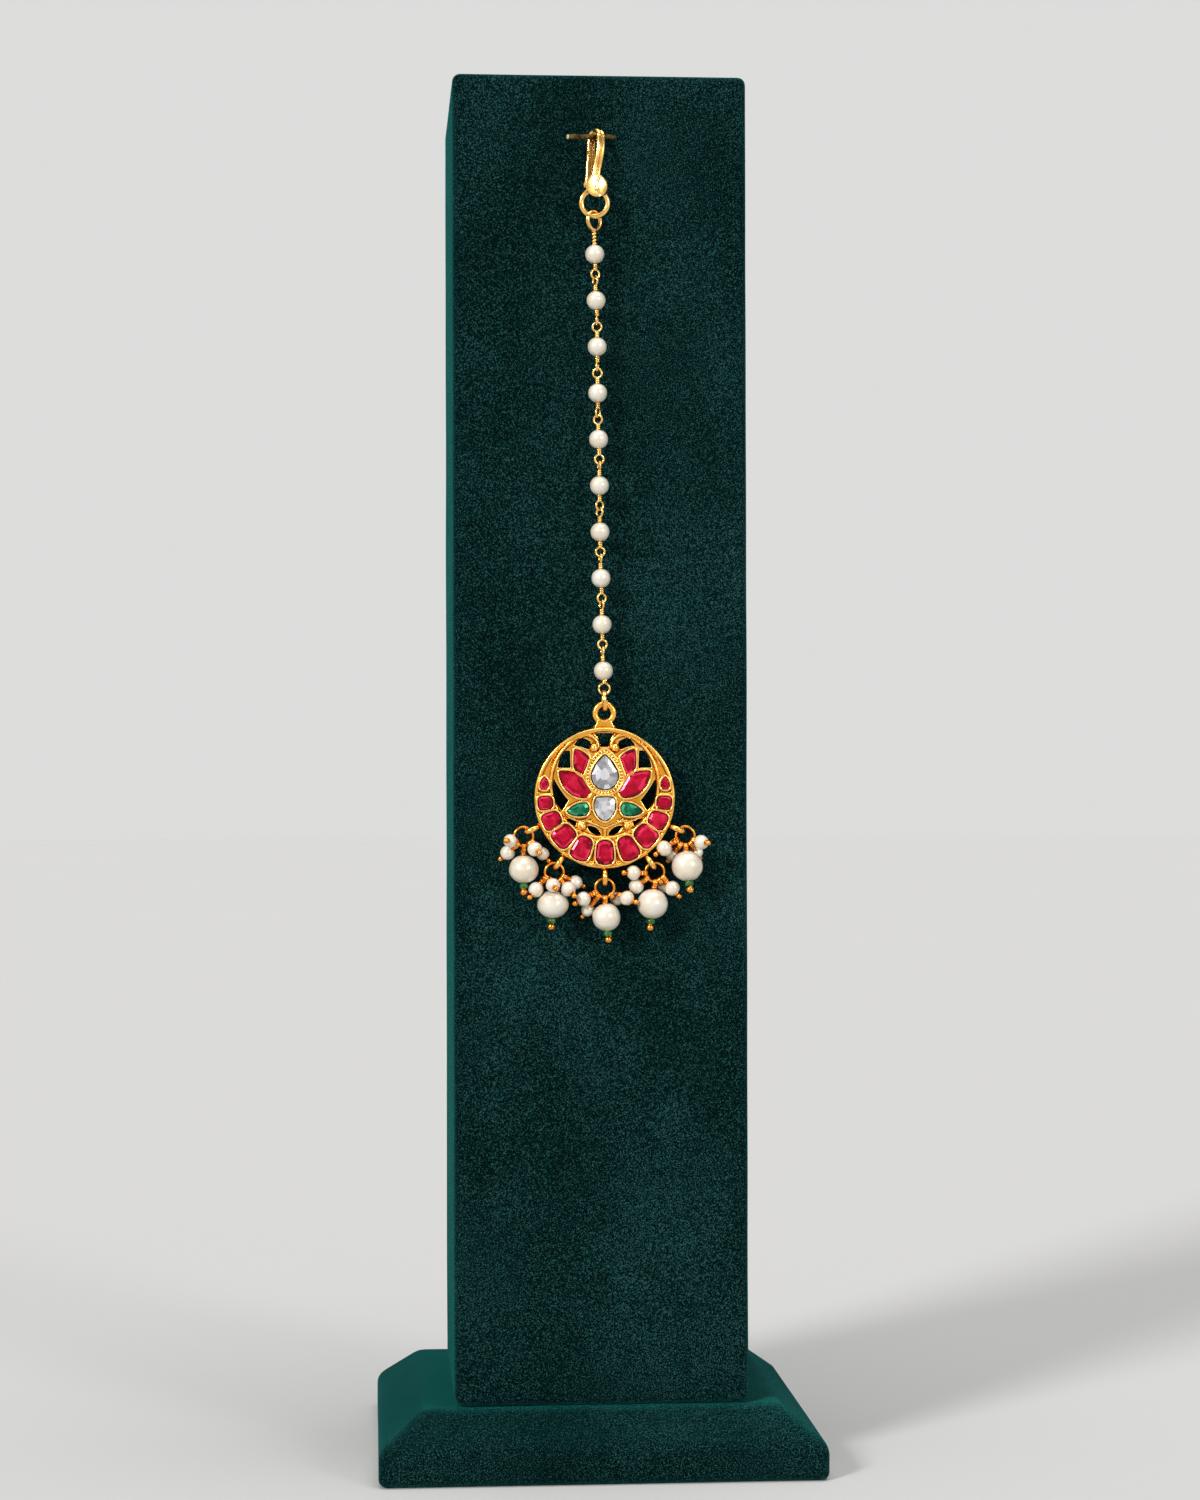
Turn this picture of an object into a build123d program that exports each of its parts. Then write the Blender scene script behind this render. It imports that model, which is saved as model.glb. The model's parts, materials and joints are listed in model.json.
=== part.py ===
"""A maang tikka hanging from the pin of a velvet display stand.

The jewel is a gold crescent disc with a lotus inside it, set with red, green and clear stones.
Five pearl clusters hang from eyelets along its lower rim.  A chain of ten wire-linked pearls
carries it from a doubled-wire hair hook, which hangs over a pin in the front of the stand.

Millimetres, +Z up, the front faces -Y, and the origin is the centre of the base's underside.
"""

import os
from math import atan2, cos, degrees, radians, sin

from build123d import *

os.makedirs("parts", exist_ok=True)

# ---------------------------------------------------------------- display stand
BASE_WIDTH = 80.0
BASE_DEPTH = 76.0
BASE_EDGE_HEIGHT = 6.2
BASE_HEIGHT = 12.5
BEVEL_RUN = 8.0
BASE_CORNER = 1.5
COLUMN_SIZE = 53.0
COLUMN_TOP = 251.0
COLUMN_CORNER = 1.2
COLUMN_FRONT_Y = -BASE_DEPTH / 2 + BEVEL_RUN

# ---------------------------------------------------------------- pin in the column
PIN_RADIUS = 0.42
PIN_ROOT = Vector(2.1, COLUMN_FRONT_Y, 239.6)
PIN_REACH = Vector(-8.3, -6.0, -1.25)
PIN_BURIED = 6.0
PIN_HOLE_CLEARANCE = 0.05
PIN_END_ROUND = 0.1
PIN_SHARE_AT_HOOK = 0.351

# ---------------------------------------------------------------- hair hook and its ring
HOOK_WIRE = 0.46
HOOK_STRAND_OFFSET = 0.42
HOOK_BEND = 1.28
HOOK_SEAT_GAP = 0.17
HOOK_DROP = HOOK_BEND - HOOK_WIRE - PIN_RADIUS - HOOK_SEAT_GAP
HOOK_SWAY = 8.5
HOOK_TAIL_SPLAY = -5.0
HOOK_TAIL_LENGTH = 8.6
HOOK_FRONT_SPLAY = -0.3
HOOK_FRONT_LENGTH = 8.69
HOOK_EYE_RADIUS = 1.0
HOOK_EYE_WIRE = 0.4
HOOK_CAP_RADIUS = 2.0
HOOK_CAP_THICKNESS = 0.55
HOOK_CAP_TURN = 15.0
HOOK_CAP_RISE = 0.6
HOOK_CAP_STANDOFF = 1.15
HOOK_BOSS_RADIUS = 0.55
HOOK_BOSS_RISE = 1.35
RING_WIRE = 0.52
RING_RADIUS = 2.33
RING_PLAY = 0.05

# ---------------------------------------------------------------- pearl chain
CHAIN_PEARL_RADIUS = 1.69
CHAIN_PEARLS = 10
PEARL_PITCH = 8.24
FIRST_PEARL_Z = 217.85
CHAIN_WIRE = 0.2
LOOP_RADIUS = 0.8
LOOP_PLAY = 0.04
WRAP_RADIUS = 0.36
WRAP_GAP = 0.04
DRILL_RADIUS = 0.26
TOP_LOOP_RADIUS = 1.7
TOP_LOOP_WIRE = 0.27
TOP_LOOP_PLAY = 0.12
TOP_LOOP_OFFSET = 0.25
TOP_LOOP_TURN = 60.0
TOP_LOOP_SHIFT = 0.1
LAST_LOOP_RADIUS = 0.98
# One row for each knot where two links meet: sideways place, turn of the upper loop about the chain.
KNOTS = (
    (-1.15, 25),
    (-0.85, 80),
    (-0.80, 75),
    (-0.72, 60),
    (-0.50, 10),
    (-0.45, 35),
    (-0.35, 10),
    (-0.12, 20),
    (0.00, 10),
)

# ---------------------------------------------------------------- bail of the pendant
BAIL_RADIUS = 1.63
BAIL_WIRE = 0.57
BAIL_RISE = 15.05
NECK_FOOT_WIDTH = 4.2
NECK_TOP_WIDTH = 2.4
NECK_FOOT_RISE = 11.9
NECK_TOP_RISE = 13.7
BAIL_RING_RADIUS = 1.75
BAIL_RING_WIRE = 0.27
BAIL_RING_OFFSET = 0.26
BAIL_RING_ABOVE_BAIL = 0.5
BAIL_RING_BELOW_LOOP = 0.37

# ---------------------------------------------------------------- pendant disc
PENDANT_X = 0.3
PENDANT_Z = 121.1
DISC_RADIUS = 12.5
PLATE = 1.2
INNER_RADIUS = 9.3
INNER_RISE = 2.5
BEZEL_WIDTH = 0.36
BEZEL_HEIGHT = 0.45
RIM_WIDTH = 0.5
RIM_HEIGHT = 0.3
SEAT_DEPTH = 1.0
SEAT_GAP = 0.06
STONE_GIRDLE = 0.95
STONE_CROWN = 0.3
STONE_TAPER = 40.0
KNOB_RADIUS = 0.8
KNOBS = ((3.95, -4.85), (1.87, 8.9))

# Stones of the crescent, from the bottom up one side: angle from the bottom, distance from the
# centre, size along the spoke, outer width, inner width, corner radius.
CRESCENT_STONES = (
    (0.0, 9.65, 4.3, 3.3, 2.7, 1.0),
    (24.6, 9.80, 4.2, 3.7, 2.6, 1.0),
    (47.2, 9.90, 3.8, 3.8, 3.0, 0.9),
    (67.2, 10.25, 3.2, 3.2, 2.6, 0.8),
    (85.4, 10.60, 2.6, 2.5, 2.2, 0.6),
)
HORN_STONE = ((10.75, 3.5, 0.25), (10.15, 2.1, 0.32), (11.35, 1.95, 0.25))

# Outlines of the right-hand half: right, up, and how far the side that starts there bulges out.
UPPER_PETAL = ((5.3, 8.5, 0.3), (2.85, 7.1, 0.0), (3.95, 4.1, 0.15), (5.4, 5.4, 0.1))
LOWER_PETAL = ((7.95, 4.65, 0.25), (4.4, 4.0, -0.1), (2.65, 1.15, 0.1), (3.6, 0.1, 1.35))
LEAF = ((6.7, -2.45, 0.5), (3.35, -0.85, 0.5), (3.35, -3.0, 0.45))
LOWER_STONE = ((1.5, 0.05, 0.15), (-1.5, 0.05, 1.05), (0.0, -4.1, 1.05))
PEAR_RADIUS = 2.5
PEAR_CENTRE_RISE = 3.85
PEAR_TIP_RISE = 7.8
PEAR_BORDER = 0.85
PEAR_SHOULDER = 25.0
PEAR_SIDE_BULGE = 0.1

# Openings through the plate, as outlines of the right-hand half.
CENTRE_TOP_OPENING = ((1.8, 11.45, 0.1), (-1.8, 11.45, -0.28), (-0.78, 9.05, 0.0), (0.78, 9.05, -0.28))
SIDE_OPENINGS = (
    ((2.85, 8.6, -0.1), (5.45, 9.3, 0.15), (4.15, 10.7, 0.12), (2.45, 9.95, 0.1)),
    ((6.05, 5.3, 0.0), (8.35, 5.4, 0.25), (7.1, 8.3, 0.1), (6.15, 8.35, 0.0)),
    ((9.05, 3.5, -0.15), (6.45, -0.4, 0.0), (7.6, -2.3, 0.7)),
    ((4.95, -4.0, 0.0), (5.2, -5.0, 0.05), (6.9, -3.6, 0.05)),
    ((3.15, -4.95, 0.55), (0.6, -6.55, 0.6)),
)

# ---------------------------------------------------------------- eyelets and drops
EYELET_ORBIT = 14.1
EYELET_RADIUS = 1.1
EYELET_WIRE = 0.5
DROP_RING_RADIUS = 1.68
DROP_RING_WIRE = 0.25
DROP_RING_SEAT = 0.2
DROP_WIRE = 0.14
DROP_LOOP_RADIUS = 0.58
DROP_LOOP_PLAY = 0.04
DROP_WRAP_RADIUS = 0.26
DROP_DRILL_RADIUS = 0.2
SEED_RADIUS = 0.72
SEED_HEIGHT = 0.85
BALL_RADIUS = 0.68
CLUSTER_BALL_RADIUS = 0.5
BEAD_GAP = 0.04
# One row for each drop, left to right: eyelet angle, lean of its ring, pearl width, pearl height,
# wrap below the loop, sideways lean of the pin, forward lean of the pin.
DROPS = (
    (-66.7, -50.0, 5.25, 5.0, 0.75, 0.0, 4.0),
    (-35.5, -24.0, 5.60, 4.9, 0.60, -4.0, 0.0),
    (0.0, 0.0, 5.00, 4.9, 0.15, 5.0, 0.0),
    (35.5, 24.0, 5.40, 5.3, 0.45, -6.0, 0.0),
    (66.7, 50.0, 5.50, 5.4, 0.15, 5.0, 12.0),
)
# One row for each small pearl of a drop: place of its loop along the ring from the bottom,
# then the pearl's centre from the ring's centre (right, up, forward), and its radius.
CLUSTERS = (
    (
        (-60, -2.45, -0.75, 1.9, 1.2),
        (-38, -2.8, -2.9, -0.9, 1.3),
        (36, 1.9, -2.2, 1.9, 1.3),
        (60, 3.4, -3.1, -0.3, 1.15),
    ),
    (
        (-62, -3.3, -3.0, 0.7, 1.35),
        (-36, -0.35, -2.15, 1.95, 1.25),
        (38, 2.4, -2.9, 1.3, 1.35),
        (66, 3.8, -1.8, -0.9, 1.25),
    ),
    (
        (-66, -3.8, -1.9, 0.4, 1.3),
        (-38, -2.9, -3.9, -1.5, 1.2),
        (40, 2.3, -2.0, -1.75, 1.2),
        (66, 3.9, -1.8, 1.0, 1.3),
    ),
    (
        (-86, -3.85, -0.1, 0.5, 1.3),
        (-52, -3.25, -2.55, -0.4, 1.3),
        (30, 1.8, -2.5, -1.7, 1.2),
        (58, 3.1, -2.9, 0.6, 1.35),
    ),
    (
        (-66, -3.8, -2.2, 0.5, 1.4),
        (-30, -2.1, -3.4, -1.9, 1.2),
        (36, 2.2, -3.0, -1.8, 1.2),
        (56, 2.7, -1.1, 1.8, 1.3),
    ),
)

DOWN = Vector(0, 0, -1)
UP = Vector(0, 0, 1)
FORWARD = Vector(0, -1, 0)
RIGHT = Vector(1, 0, 0)


def save(builder, name):
    """Labels a finished piece and writes its STEP file."""
    builder.part.label = name
    export_step(builder.part, f"parts/{name}.step")


def save_group(solids, name):
    """Labels several solids of one kind and writes them to one STEP file."""
    group = Compound(label=name, children=solids)
    export_step(group, f"parts/{name}.step")


def outline(rows):
    """Closed flat outline through rows of right, up and the bulge of the side that starts there."""
    with BuildSketch() as shape:
        with BuildLine():
            for (right, up, bulge), (next_right, next_up, _) in zip(rows, rows[1:] + rows[:1]):
                if bulge:
                    SagittaArc((right, up), (next_right, next_up), -bulge)
                else:
                    Line((right, up), (next_right, next_up))
        make_face()
    return shape.sketch


def other_side(shape):
    """The same flat outline on the left of the disc's centre line."""
    with BuildSketch() as turned:
        add(shape)
        mirror(about=Plane.YZ, mode=Mode.REPLACE)
    return turned.sketch


def crescent_stone(angle, distance, length, outer_width, inner_width, corner):
    """Outline of a rounded wedge whose wide end faces the rim."""
    side_angle = degrees(atan2(length, (outer_width - inner_width) / 2))
    place = Location((distance * sin(radians(angle)), -distance * cos(radians(angle)), 0), (0, 0, angle))
    with BuildSketch() as shape:
        with Locations(place):
            Trapezoid(outer_width, length, side_angle)
        fillet(shape.vertices(), corner)
    return shape.sketch


def pear(radius, rise, tip_rise):
    """Outline of a round-bottomed pear whose tip points up."""
    shoulder = radians(PEAR_SHOULDER)
    right, up = radius * cos(shoulder), rise + radius * sin(shoulder)
    bulge = radius * PEAR_SIDE_BULGE
    with BuildSketch() as shape:
        with BuildLine():
            ThreePointArc((-right, up), (0, rise - radius), (right, up))
            SagittaArc((right, up), (0, tip_rise), -bulge)
            SagittaArc((0, tip_rise), (-right, up), -bulge)
        make_face()
    return shape.sketch


# ================================================================ display stand
with BuildPart() as base:
    with BuildSketch():
        RectangleRounded(BASE_WIDTH, BASE_DEPTH, BASE_CORNER)
    extrude(amount=BASE_EDGE_HEIGHT)
    with BuildSketch(Plane.XY.offset(BASE_EDGE_HEIGHT)):
        RectangleRounded(BASE_WIDTH, BASE_DEPTH, BASE_CORNER)
    with BuildSketch(Plane.XY.offset(BASE_HEIGHT)):
        RectangleRounded(BASE_WIDTH - 2 * BEVEL_RUN, BASE_DEPTH - 2 * BEVEL_RUN, BASE_CORNER)
    loft()
save(base, "stand_base")

pin_plane = Plane(origin=PIN_ROOT, z_dir=PIN_REACH)

with BuildPart() as column:
    with BuildSketch(Plane.XY.offset(BASE_HEIGHT)):
        with Locations((0, COLUMN_FRONT_Y + COLUMN_SIZE / 2)):
            RectangleRounded(COLUMN_SIZE, COLUMN_SIZE, COLUMN_CORNER)
    extrude(amount=COLUMN_TOP - BASE_HEIGHT)
    fillet(column.faces().sort_by(Axis.Z)[-1].edges(), COLUMN_CORNER / 2)
    with BuildSketch(pin_plane.offset(-PIN_BURIED - PIN_HOLE_CLEARANCE)):
        Circle(PIN_RADIUS + PIN_HOLE_CLEARANCE)
    extrude(amount=PIN_BURIED + 2 * PIN_RADIUS, mode=Mode.SUBTRACT)
save(column, "stand_column")

with BuildPart() as pin:
    with BuildSketch(pin_plane.offset(-PIN_BURIED)):
        Circle(PIN_RADIUS)
    extrude(amount=PIN_BURIED + PIN_REACH.length)
    fillet(pin.edges().filter_by(GeomType.CIRCLE), PIN_END_ROUND)
save(pin, "stand_pin")

# ================================================================ hair hook
# The hook lies in a plane across the pin.  Its local x points forward, its local y up.
pin_heading = Vector(PIN_REACH.X, PIN_REACH.Y, 0).normalized()
hook_front = UP.cross(pin_heading)
hook_up = UP * cos(radians(HOOK_SWAY)) - pin_heading * sin(radians(HOOK_SWAY))
hook_plane = Plane(
    origin=PIN_ROOT + PIN_REACH * PIN_SHARE_AT_HOOK - UP * HOOK_DROP,
    x_dir=hook_front,
    z_dir=hook_front.cross(hook_up),
)
tail_turn = radians(HOOK_TAIL_SPLAY)
front_turn = radians(HOOK_FRONT_SPLAY)
tail_top = Vector(-HOOK_BEND * cos(tail_turn), HOOK_BEND * sin(tail_turn))
tail_heading = Vector(-sin(tail_turn), -cos(tail_turn))
tail_tip = tail_top + tail_heading * HOOK_TAIL_LENGTH
front_top = Vector(HOOK_BEND * cos(front_turn), HOOK_BEND * sin(front_turn))
front_heading = Vector(sin(front_turn), -cos(front_turn))
front_foot = front_top + front_heading * HOOK_FRONT_LENGTH
eye_centre = hook_plane.from_local_coords(front_foot + front_heading * HOOK_EYE_RADIUS)
cap_normal = Vector(sin(radians(HOOK_CAP_TURN)), -cos(radians(HOOK_CAP_TURN)), 0)
HANG_Y = eye_centre.Y

with BuildPart() as hook:
    with BuildLine() as hook_path:
        flat_path = (tail_tip, tail_top, Vector(0, HOOK_BEND), front_top, front_foot)
        tip, over, crest, down, foot = (hook_plane.from_local_coords(point) for point in flat_path)
        Line(tip, over)
        ThreePointArc(over, crest, down)
        Line(down, foot)
    with BuildSketch(Plane(origin=tip, x_dir=hook_plane.z_dir, z_dir=over - tip)):
        with Locations((-HOOK_STRAND_OFFSET, 0), (HOOK_STRAND_OFFSET, 0)):
            Circle(HOOK_WIRE)
    sweep(path=hook_path.line)
    with Locations(Plane(origin=eye_centre, z_dir=RIGHT)):
        Torus(HOOK_EYE_RADIUS, HOOK_EYE_WIRE)
    cap_centre = eye_centre + UP * HOOK_CAP_RISE
    with BuildSketch(Plane(origin=cap_centre + cap_normal * HOOK_CAP_STANDOFF, z_dir=cap_normal)):
        Circle(HOOK_CAP_RADIUS)
    extrude(amount=HOOK_CAP_THICKNESS)
    with BuildSketch(Plane(origin=eye_centre + UP * HOOK_BOSS_RISE, z_dir=cap_normal)):
        Circle(HOOK_BOSS_RADIUS)
    extrude(amount=HOOK_CAP_STANDOFF + HOOK_CAP_THICKNESS / 2)
save(hook, "hook")

ring_top_z = eye_centre.Z - HOOK_EYE_RADIUS + HOOK_EYE_WIRE + RING_WIRE + RING_PLAY
ring_centre = Vector(eye_centre.X, HANG_Y, ring_top_z - RING_RADIUS)
with BuildPart() as hook_ring:
    with Locations(Plane(origin=ring_centre, z_dir=FORWARD)):
        Torus(RING_RADIUS, RING_WIRE)
save(hook_ring, "hook_ring")


# ================================================================ pearl chain
def sideways(turn):
    """Horizontal direction that is to the right at no turn, for the plane of a loop."""
    return Vector(cos(radians(turn)), sin(radians(turn)), 0)


def loop_plane(centre, turn):
    """Plane of an upright loop, whose own axis is level."""
    return Plane(origin=centre, x_dir=sideways(turn), z_dir=sideways(turn).cross(UP))


bail_centre = Vector(PENDANT_X, HANG_Y, PENDANT_Z + BAIL_RISE)
bail_ring_bottom = bail_centre + UP * BAIL_RING_ABOVE_BAIL
bail_ring_centre = bail_ring_bottom + UP * BAIL_RING_RADIUS
last_loop_centre = bail_ring_centre + UP * (BAIL_RING_RADIUS + BAIL_RING_BELOW_LOOP)
loop_half_step = LOOP_RADIUS - CHAIN_WIRE - LOOP_PLAY / 2
first_loop_z = ring_centre.Z - RING_RADIUS + RING_WIRE + TOP_LOOP_WIRE + TOP_LOOP_PLAY - TOP_LOOP_RADIUS
first_loop_centre = Vector(ring_centre.X - TOP_LOOP_SHIFT, HANG_Y, first_loop_z)

pearl_solids = []
for link in range(CHAIN_PEARLS):
    pearl_z = FIRST_PEARL_Z - link * PEARL_PITCH
    knot_above_z = pearl_z + PEARL_PITCH / 2
    knot_below_z = pearl_z - PEARL_PITCH / 2
    if link == 0:
        top, top_turn, top_radius = first_loop_centre, TOP_LOOP_TURN, TOP_LOOP_RADIUS
        top_wire, top_offsets = TOP_LOOP_WIRE, (-TOP_LOOP_OFFSET, TOP_LOOP_OFFSET)
    else:
        knot_x, knot_turn = KNOTS[link - 1]
        top = Vector(knot_x, HANG_Y, knot_above_z - loop_half_step)
        top_turn, top_radius = knot_turn + 90, LOOP_RADIUS
        top_wire, top_offsets = CHAIN_WIRE, (0,)
    if link == CHAIN_PEARLS - 1:
        bottom, bottom_turn, bottom_radius = last_loop_centre, 0, LAST_LOOP_RADIUS
    else:
        knot_x, bottom_turn = KNOTS[link]
        bottom = Vector(knot_x, HANG_Y, knot_below_z + loop_half_step)
        bottom_radius = LOOP_RADIUS
    start = top + DOWN * top_radius
    finish = bottom + UP * bottom_radius
    along = (finish - start).normalized()
    pearl_centre = start + along * ((start.Z - pearl_z) / -along.Z)
    pearl_reach = CHAIN_PEARL_RADIUS + WRAP_GAP

    with BuildPart() as eye_pin:
        for offset_along in top_offsets:
            top_plane = loop_plane(top, top_turn)
            with Locations(top_plane.offset(offset_along)):
                Torus(top_radius, top_wire)
        with Locations(loop_plane(bottom, bottom_turn)):
            Torus(bottom_radius, CHAIN_WIRE)
        with BuildSketch(Plane(origin=start, z_dir=along)):
            Circle(CHAIN_WIRE)
        extrude(amount=(finish - start).length)
        with BuildSketch(Plane(origin=start, z_dir=along)):
            Circle(WRAP_RADIUS)
        extrude(amount=(pearl_centre - start).length - pearl_reach)
        with BuildSketch(Plane(origin=finish, z_dir=-along)):
            Circle(WRAP_RADIUS)
        extrude(amount=(finish - pearl_centre).length - pearl_reach)
    save(eye_pin, f"chain_link_{link + 1:02d}")

    with BuildPart() as pearl:
        with Locations(Plane(origin=pearl_centre, z_dir=along)):
            Sphere(CHAIN_PEARL_RADIUS)
            Cylinder(DRILL_RADIUS, 3 * CHAIN_PEARL_RADIUS, mode=Mode.SUBTRACT)
    pearl_solids.append(pearl.part)
save_group(pearl_solids, "chain_pearls")

with BuildPart() as bail_ring:
    for offset_along in (-BAIL_RING_OFFSET, BAIL_RING_OFFSET):
        with Locations(Plane(origin=bail_ring_centre + RIGHT * offset_along, z_dir=RIGHT)):
            Torus(BAIL_RING_RADIUS, BAIL_RING_WIRE)
save(bail_ring, "bail_ring")

# ================================================================ pendant disc
back_plane = Plane(origin=(PENDANT_X, HANG_Y + PLATE / 2, PENDANT_Z), x_dir=RIGHT, z_dir=FORWARD)
face_plane = back_plane.offset(PLATE)
bezel_plane = face_plane.offset(BEZEL_HEIGHT)
seat_plane = bezel_plane.offset(-SEAT_DEPTH)

stones = {}
left_stones = [other_side(crescent_stone(*row)) for row in reversed(CRESCENT_STONES[1:])]
right_stones = [crescent_stone(*row) for row in CRESCENT_STONES]
horn = outline(HORN_STONE)
for number, shape in enumerate([other_side(horn)] + left_stones + right_stones + [horn], start=1):
    stones[f"crescent_ruby_{number:02d}"] = shape
lotus_outlines = {"petal_ruby_upper": UPPER_PETAL, "petal_ruby_lower": LOWER_PETAL, "leaf_emerald": LEAF}
for name, rows in lotus_outlines.items():
    stones[f"{name}_right"] = outline(rows)
    stones[f"{name}_left"] = other_side(outline(rows))
stones["centre_crystal"] = pear(PEAR_RADIUS, PEAR_CENTRE_RISE, PEAR_TIP_RISE)
stones["lower_crystal"] = outline(LOWER_STONE)

for name, shape in stones.items():
    with BuildPart() as gem:
        with BuildSketch(seat_plane.offset(SEAT_GAP)):
            add(shape)
            offset(amount=-SEAT_GAP)
        extrude(amount=STONE_GIRDLE)
        with BuildSketch(seat_plane.offset(SEAT_GAP + STONE_GIRDLE)):
            add(shape)
            offset(amount=-SEAT_GAP)
        extrude(amount=STONE_CROWN, taper=STONE_TAPER)
    save(gem, name)


def disc_point(angle, distance):
    """Place in the disc's middle plane at an angle from its bottom, towards the right."""
    return Vector(
        PENDANT_X + distance * sin(radians(angle)), HANG_Y, PENDANT_Z - distance * cos(radians(angle))
    )


pear_border = pear(PEAR_RADIUS + PEAR_BORDER, PEAR_CENTRE_RISE, PEAR_TIP_RISE + PEAR_BORDER)
openings = [outline(CENTRE_TOP_OPENING)]
for rows in SIDE_OPENINGS:
    openings += [outline(rows), other_side(outline(rows))]

with BuildPart() as frame:
    with BuildSketch(back_plane):
        Circle(DISC_RADIUS)
        Polygon(
            (-NECK_FOOT_WIDTH / 2, NECK_FOOT_RISE),
            (NECK_FOOT_WIDTH / 2, NECK_FOOT_RISE),
            (NECK_TOP_WIDTH / 2, NECK_TOP_RISE),
            (-NECK_TOP_WIDTH / 2, NECK_TOP_RISE),
            align=None,
        )
    extrude(amount=PLATE)
    with BuildSketch(face_plane):
        Circle(DISC_RADIUS - SEAT_GAP)
        Circle(DISC_RADIUS - RIM_WIDTH, mode=Mode.SUBTRACT)
        with Locations((0, INNER_RISE)):
            Circle(INNER_RADIUS + RIM_WIDTH)
            Circle(INNER_RADIUS, mode=Mode.SUBTRACT)
    extrude(amount=RIM_HEIGHT)
    with BuildSketch(face_plane):
        for shape in stones.values():
            add(offset(shape, BEZEL_WIDTH, mode=Mode.PRIVATE))
        add(pear_border)
    extrude(amount=BEZEL_HEIGHT)
    with Locations(face_plane):
        with Locations(*[(side * right, up) for right, up in KNOBS for side in (-1, 1)]):
            Sphere(KNOB_RADIUS)
    with BuildSketch(bezel_plane):
        for shape in stones.values():
            add(shape)
    extrude(amount=-SEAT_DEPTH, mode=Mode.SUBTRACT)
    with BuildSketch(bezel_plane.offset(KNOB_RADIUS)):
        for shape in openings:
            add(shape)
    extrude(amount=-PLATE - BEZEL_HEIGHT - 2 * KNOB_RADIUS, mode=Mode.SUBTRACT)
    with Locations(Plane(origin=bail_centre, z_dir=FORWARD)):
        Torus(BAIL_RADIUS, BAIL_WIRE)
    for eyelet_angle, *_ in DROPS:
        spoke = disc_point(eyelet_angle, 1) - disc_point(eyelet_angle, 0)
        with BuildSketch(Plane(origin=disc_point(eyelet_angle, DISC_RADIUS - RIM_WIDTH), z_dir=spoke)):
            Circle(EYELET_WIRE)
        extrude(amount=EYELET_ORBIT - EYELET_RADIUS - DISC_RADIUS + RIM_WIDTH)
        with Locations(Plane(origin=disc_point(eyelet_angle, EYELET_ORBIT), z_dir=spoke.cross(FORWARD))):
            Torus(EYELET_RADIUS, EYELET_WIRE)
save(frame, "pendant_frame")


# ================================================================ pearl drops
def ring_point(centre, place):
    """Place on a drop ring's centre line at an angle from its bottom, towards the right."""
    return centre + Vector(sin(radians(place)), 0, -cos(radians(place))) * DROP_RING_RADIUS


def head_pin(wire_point, ring_tangent, along, neck_reach, ball_reach, ball_radius):
    """Straight pin with an end ball, a wrapped neck and a loop round a drop ring's wire."""
    loop_centre = wire_point + along * (DROP_LOOP_RADIUS - DROP_WIRE - DROP_RING_WIRE - DROP_LOOP_PLAY)
    loop_axis = (ring_tangent - along * ring_tangent.dot(along)).normalized()
    neck_start = loop_centre + along * DROP_LOOP_RADIUS
    loop_reach = (neck_start - wire_point).length
    with BuildPart() as head_pin_part:
        with Locations(Plane(origin=loop_centre, x_dir=-along, z_dir=loop_axis)):
            Torus(DROP_LOOP_RADIUS, DROP_WIRE)
        with BuildSketch(Plane(origin=neck_start, z_dir=along)):
            Circle(DROP_WRAP_RADIUS)
        extrude(amount=neck_reach - loop_reach)
        with BuildSketch(Plane(origin=neck_start, z_dir=along)):
            Circle(DROP_WIRE)
        extrude(amount=ball_reach - loop_reach)
        with Locations(Plane(origin=wire_point + along * ball_reach, z_dir=along)):
            Sphere(ball_radius)
    return head_pin_part


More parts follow.
